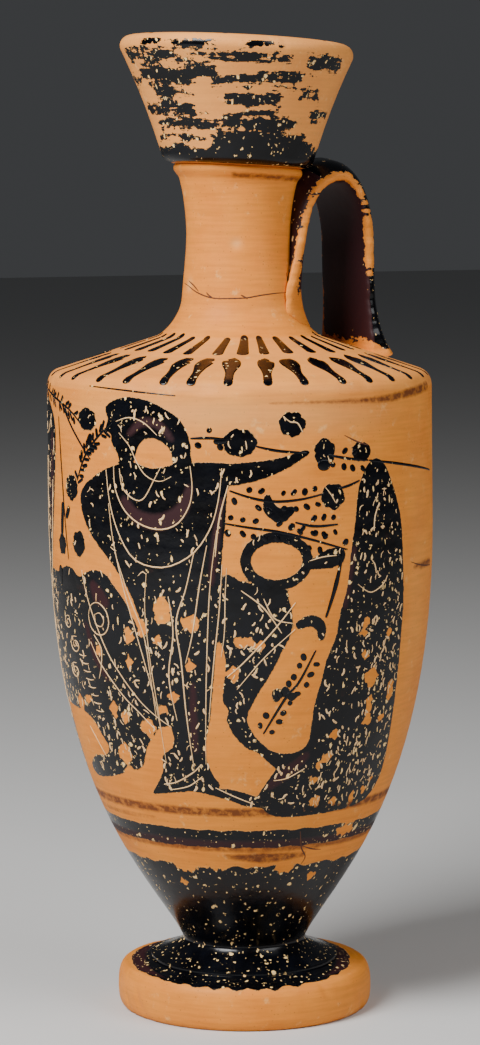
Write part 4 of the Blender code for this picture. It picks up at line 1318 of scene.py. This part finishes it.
def flaked(tree, place, wear):
    """1 where the black is gone: wide chips only where the wear is high, small ones, upright slits
    and the finest specks everywhere."""
    high = add(tree, "ShaderNodeMath", {0: wear, 1: 0.45}, operation="SUBTRACT")
    upright = add(tree, "ShaderNodeMapping", {"Vector": place, "Scale": (1.0, 1.0, 0.42)})
    kinds = [
        chips(tree, place, high.outputs[0], 4.6, 0.28, 0.31),
        chips(tree, place, wear, 2.3, 0.29, 0.77),
        chips(tree, upright.outputs[0], wear, 1.6, 0.27, 1.90),
        chips(tree, place, wear, 1.1, 0.25, 2.70)]
    gone = kinds[0]
    for kind in kinds[1:]:
        gone = add(tree, "ShaderNodeMath", {0: gone, 1: kind}, operation="MAXIMUM").outputs[0]
    return gone


def slip_colour(tree, place, red_and_shade_share):
    """Black film with a cold cast, brown where it lies thin, dull purple-red where red was added. The
    same dark red is painted shade on the handle's faces that lie in shade.
    """
    depth = add(tree, "ShaderNodeTexNoise", {
        "Vector": place, "Scale": per_mm(9.0), "Detail": 5.0, "Roughness": 0.65})
    thick = add(tree, "ShaderNodeMapRange", {"Value": depth.outputs["Fac"], 1: 0.40, 2: 0.66})
    film = add(tree, "ShaderNodeMix", {
        0: thick.outputs[0], 6: linear(SLIP_BLACK), 7: linear(SLIP_BLUE)}, data_type="RGBA")
    thin = add(tree, "ShaderNodeMapRange", {"Value": depth.outputs["Fac"], 1: 0.33, 2: 0.24})
    brown = add(tree, "ShaderNodeMix", {
        0: thin.outputs[0], 6: film.outputs[2], 7: linear(SLIP_BROWN)}, data_type="RGBA")
    return add(tree, "ShaderNodeMix", {
        0: red_and_shade_share, 6: brown.outputs[2], 7: linear(ADDED_RED_AND_SHADE)}, data_type="RGBA").outputs[2]


POTTERY_IOR = 1.42


def finish_pottery(tree, shader, place, share, clay, slip_look, red_and_shade_share):
    """Mixes clay and slip by the share of slip, in colour, roughness and height. The clay is grainy;
    the film stands a tenth of a millimetre above it, is smooth but a little wavy, and has about
    twice the clay's sheen."""
    edge = add(tree, "ShaderNodeMix", {0: share, 6: clay, 7: slip_look}, data_type="RGBA")
    grain = add(tree, "ShaderNodeTexNoise", {"Vector": place, "Scale": per_mm(0.8), "Detail": 4.0})
    wave = add(tree, "ShaderNodeTexNoise", {"Vector": place, "Scale": per_mm(3.2), "Detail": 3.0})
    clay_rough = add(tree, "ShaderNodeMapRange", {"Value": grain.outputs["Fac"], 3: 0.42, 4: 0.60})
    sheen = add(tree, "ShaderNodeMapRange", {"Value": share, 3: 0.16, 4: 0.34})
    slip_rough = add(tree, "ShaderNodeMapRange", {"Value": grain.outputs["Fac"], 3: 0.15, 4: 0.26})
    dull = add(tree, "ShaderNodeMix", {0: red_and_shade_share, 2: slip_rough.outputs[0], 3: 0.6})
    rough = add(tree, "ShaderNodeMix", {0: share, 2: clay_rough.outputs[0], 3: dull.outputs[0]})
    grainy = add(tree, "ShaderNodeMath", {0: grain.outputs["Fac"], 1: 0.05}, operation="MULTIPLY")
    wavy = add(tree, "ShaderNodeMath", {0: wave.outputs["Fac"], 1: 0.10, 2: 0.10}, operation="MULTIPLY_ADD")
    height = add(tree, "ShaderNodeMix", {0: share, 2: grainy.outputs[0], 3: wavy.outputs[0]})
    bump = add(tree, "ShaderNodeBump", {"Height": height.outputs[0], "Distance": MM, "Strength": 0.8})
    looks = {"Base Color": edge.outputs[2], "Roughness": rough.outputs[0], "Normal": bump.outputs[0],
             "Specular IOR Level": sheen.outputs[0]}
    for key, socket in looks.items():
        tree.links.new(socket, shader.inputs[key])
    shader.inputs["IOR"].default_value = POTTERY_IOR


# %% Fired clay with a painted picture
def painted_clay():
    """Reads the painting's distances from the mesh. A noise wavers every edge of the slip by a few
    tenths of a millimetre, and one drawn out round the pot streaks the worn mouth. Along the edges
    of the slip more of it has chipped off."""
    made, tree, shader = new_material("slip_painted_clay")
    place = add(tree, "ShaderNodeTexCoord").outputs["Object"]
    slip_mm, red_and_shade_mm, wash_mm, wear, streak, pale = (
        add(tree, "ShaderNodeAttribute", attribute_name=key).outputs["Fac"]
        for key in ("slip_mm", "red_and_shade_mm", "wash_mm", "wear", "streak", "pale"))
    ragged = add(tree, "ShaderNodeTexNoise", {
        "Vector": place, "Scale": per_mm(1.3), "Detail": 4.0, "Roughness": 0.7})
    rough_edge = add(tree, "ShaderNodeMapRange", {"Value": ragged.outputs["Fac"], 3: -0.45, 4: 0.45})
    reach = add(tree, "ShaderNodeMath", {0: rough_edge.outputs[0], 1: slip_mm}, operation="ADD")
    round_way = add(tree, "ShaderNodeMapping", {"Vector": place, "Scale": (0.20, 0.20, 1.0)})
    long_noise = add(tree, "ShaderNodeTexNoise", {
        "Vector": round_way.outputs[0], "Scale": per_mm(1.5), "Detail": 3.0, "Roughness": 0.6})
    blotch = add(tree, "ShaderNodeTexNoise", {
        "Vector": place, "Scale": per_mm(2.1), "Detail": 4.0, "Roughness": 0.65})
    long_part = add(tree, "ShaderNodeMapRange", {"Value": long_noise.outputs["Fac"], 3: -8.0, 4: 8.0})
    blotch_part = add(tree, "ShaderNodeMapRange", {"Value": blotch.outputs["Fac"], 3: -6.0, 4: 6.0})
    streaks = add(tree, "ShaderNodeMath", {
        0: long_part.outputs[0], 1: blotch_part.outputs[0]}, operation="ADD")
    worn = add(tree, "ShaderNodeMath", {
        0: streaks.outputs[0], 1: streak, 2: reach.outputs[0]}, operation="MULTIPLY_ADD")
    film = add(tree, "ShaderNodeMapRange", {"Value": worn.outputs[0], 1: -0.07, 2: 0.09})
    by_edge = add(tree, "ShaderNodeMapRange", {"Value": slip_mm, 1: 0.2, 2: 1.8, 3: 0.16, 4: 0.0})
    wear_here = add(tree, "ShaderNodeMath", {0: by_edge.outputs[0], 1: wear}, operation="ADD")
    gone = flaked(tree, place, wear_here.outputs[0])
    kept = add(tree, "ShaderNodeMath", {0: 1.0, 1: gone}, operation="SUBTRACT")
    share = add(tree, "ShaderNodeMath", {0: film.outputs[0], 1: kept.outputs[0]}, operation="MULTIPLY")
    # The red distance holds the added red and, on the handle, painted shade.
    red_and_shade_edge = add(tree, "ShaderNodeMath", {0: rough_edge.outputs[0], 1: red_and_shade_mm}, operation="ADD")
    red_and_shade_share = add(tree, "ShaderNodeMapRange", {"Value": red_and_shade_edge.outputs[0], 1: -0.5, 2: 0.6, 4: 0.85})
    wash_edge = add(tree, "ShaderNodeMath", {0: rough_edge.outputs[0], 1: wash_mm}, operation="ADD")
    wash_full = add(tree, "ShaderNodeMapRange", {"Value": wash_edge.outputs[0], 1: -0.4, 2: 0.5, 4: 0.92})
    mottled = add(tree, "ShaderNodeMapRange", {
        "Value": blotch.outputs["Fac"], 1: 0.36, 2: 0.54, 3: 0.45, 4: 1.0})
    wash_share = add(tree, "ShaderNodeMath", {
        0: wash_full.outputs[0], 1: mottled.outputs[0]}, operation="MULTIPLY")
    body = add(tree, "ShaderNodeMix", {
        0: pale, 6: clay_colour(tree, place), 7: linear(CLAY_CREAM)}, data_type="RGBA")
    bare = add(tree, "ShaderNodeMix", {
        0: film.outputs[0], 6: body.outputs[2], 7: linear(FLAKED_CLAY)}, data_type="RGBA")
    washed = add(tree, "ShaderNodeMix", {
        0: wash_share.outputs[0], 6: bare.outputs[2], 7: linear(WASH_BROWN)}, data_type="RGBA")
    look = slip_colour(tree, place, red_and_shade_share.outputs[0])
    finish_pottery(tree, shader, place, share.outputs[0], washed.outputs[2], look, red_and_shade_share.outputs[0])
    return made


BRUSHED_WEAR = 0.24


def brushed_slip():
    """The same black film on the brushed strokes, lightly flaked: crisp black dabs that catch the
    light along their raised edges."""
    made, tree, shader = new_material("black_slip_film")
    place = add(tree, "ShaderNodeTexCoord").outputs["Object"]
    wear = add(tree, "ShaderNodeValue")
    wear.outputs[0].default_value = BRUSHED_WEAR
    gone = flaked(tree, place, wear.outputs[0])
    share = add(tree, "ShaderNodeMath", {0: 1.0, 1: gone}, operation="SUBTRACT")
    none = add(tree, "ShaderNodeValue")
    look = slip_colour(tree, place, none.outputs[0])
    finish_pottery(tree, shader, place, share.outputs[0], linear(FLAKED_CLAY), look, none.outputs[0])
    return made


def bared_clay():
    """The bottom of a scratched line or a nick: unburnished clay, pale and dull against the black."""
    made, tree, shader = new_material("scratched_clay")
    place = add(tree, "ShaderNodeTexCoord").outputs["Object"]
    dust = add(tree, "ShaderNodeTexNoise", {"Vector": place, "Scale": per_mm(2.5), "Detail": 4.0})
    tone = add(tree, "ShaderNodeMix", {
        0: dust.outputs["Fac"], 6: linear(SCRATCH_DUSTY), 7: linear(SCRATCH_CLEAN)}, data_type="RGBA")
    tree.links.new(tone.outputs[2], shader.inputs["Base Color"])
    shader.inputs["Roughness"].default_value = 0.75
    return made


def crack_dirt():
    """Old dirt in a crack: dark brown and quite dull."""
    made, tree, shader = new_material("crack_dirt")
    place = add(tree, "ShaderNodeTexCoord").outputs["Object"]
    dust = add(tree, "ShaderNodeTexNoise", {"Vector": place, "Scale": per_mm(3.0), "Detail": 3.0})
    tone = add(tree, "ShaderNodeMix", {
        0: dust.outputs["Fac"], 6: linear(DIRT_DARK), 7: linear(DIRT_LIGHT)}, data_type="RGBA")
    tree.links.new(tone.outputs[2], shader.inputs["Base Color"])
    shader.inputs["Roughness"].default_value = 0.85
    return made


pottery = painted_clay()
vessel.data.materials.append(pottery)
handle.data.materials.append(pottery)
brushwork.data.materials.append(brushed_slip())
bared = bared_clay()
scratches.data.materials.append(bared)
nicks.data.materials.append(bared)
cracks.data.materials.append(crack_dirt())
print("materials", [m.name for m in bpy.data.materials])

# %% [markdown]
# ## Light and floor
#
# A soft lamp high on the left lights the shoulder and the upright wall and grazes the taper below
# it, which is why the lower body is so much darker. A weaker one stands at the right, and the
# floor is pale. The lamps are broad, because a small one would draw a hard white spot on the
# glossy slip.


# %% Floor and lamps
FLOOR_HALF = 6.0
AIM_HEIGHT = 0.14


def pale_floor():
    """A large dull pale square on which the vessel stands."""
    made, tree, shader = new_material("pale_floor")
    shader.inputs["Base Color"].default_value = linear(FLOOR_GREY)
    shader.inputs["Roughness"].default_value = 0.8
    mesh = bpy.data.meshes.new("floor")
    corners = [(-1, -1), (1, -1), (1, 1), (-1, 1)]
    mesh.from_pydata([(FLOOR_HALF * x, FLOOR_HALF * y, 0) for x, y in corners], [], [(0, 1, 2, 3)])
    mesh.materials.append(made)
    floor = bpy.data.objects.new("floor", mesh)
    bpy.context.collection.objects.link(floor)
    return floor


def soft_lamp(name, side, height, away, size, watts):
    """A square lamp aimed at the middle of the vessel, at an angle in degrees from the camera's
    direction, positive to the right, with its height and distance in metres."""
    data = bpy.data.lights.new(name, "AREA")
    data.shape, data.size, data.energy = "SQUARE", size, watts
    lamp = bpy.data.objects.new(name, data)
    azimuth = FRONT + math.radians(side)
    at = np.array((away * math.cos(azimuth), away * math.sin(azimuth), height))
    aim = at - np.array((0.0, 0.0, AIM_HEIGHT))
    tilt, turn = math.atan2(math.hypot(aim[0], aim[1]), aim[2]), math.atan2(aim[1], aim[0])
    lamp.location = at
    lamp.rotation_euler = (tilt, 0.0, turn + math.radians(90.0))
    bpy.context.collection.objects.link(lamp)
    return lamp


floor = pale_floor()
soft_lamp("key_lamp", -42.0, 0.76, 0.70, 0.45, 17.5)
soft_lamp("fill_lamp", 55.0, 0.72, 0.85, 0.60, 6.0)
world = bpy.data.worlds.new("studio")
world.use_nodes = True
world.node_tree.nodes["Background"].inputs[0].default_value = linear(STUDIO_GREY)
world.node_tree.nodes["Background"].inputs[1].default_value = STUDIO_STRENGTH
bpy.context.scene.world = world
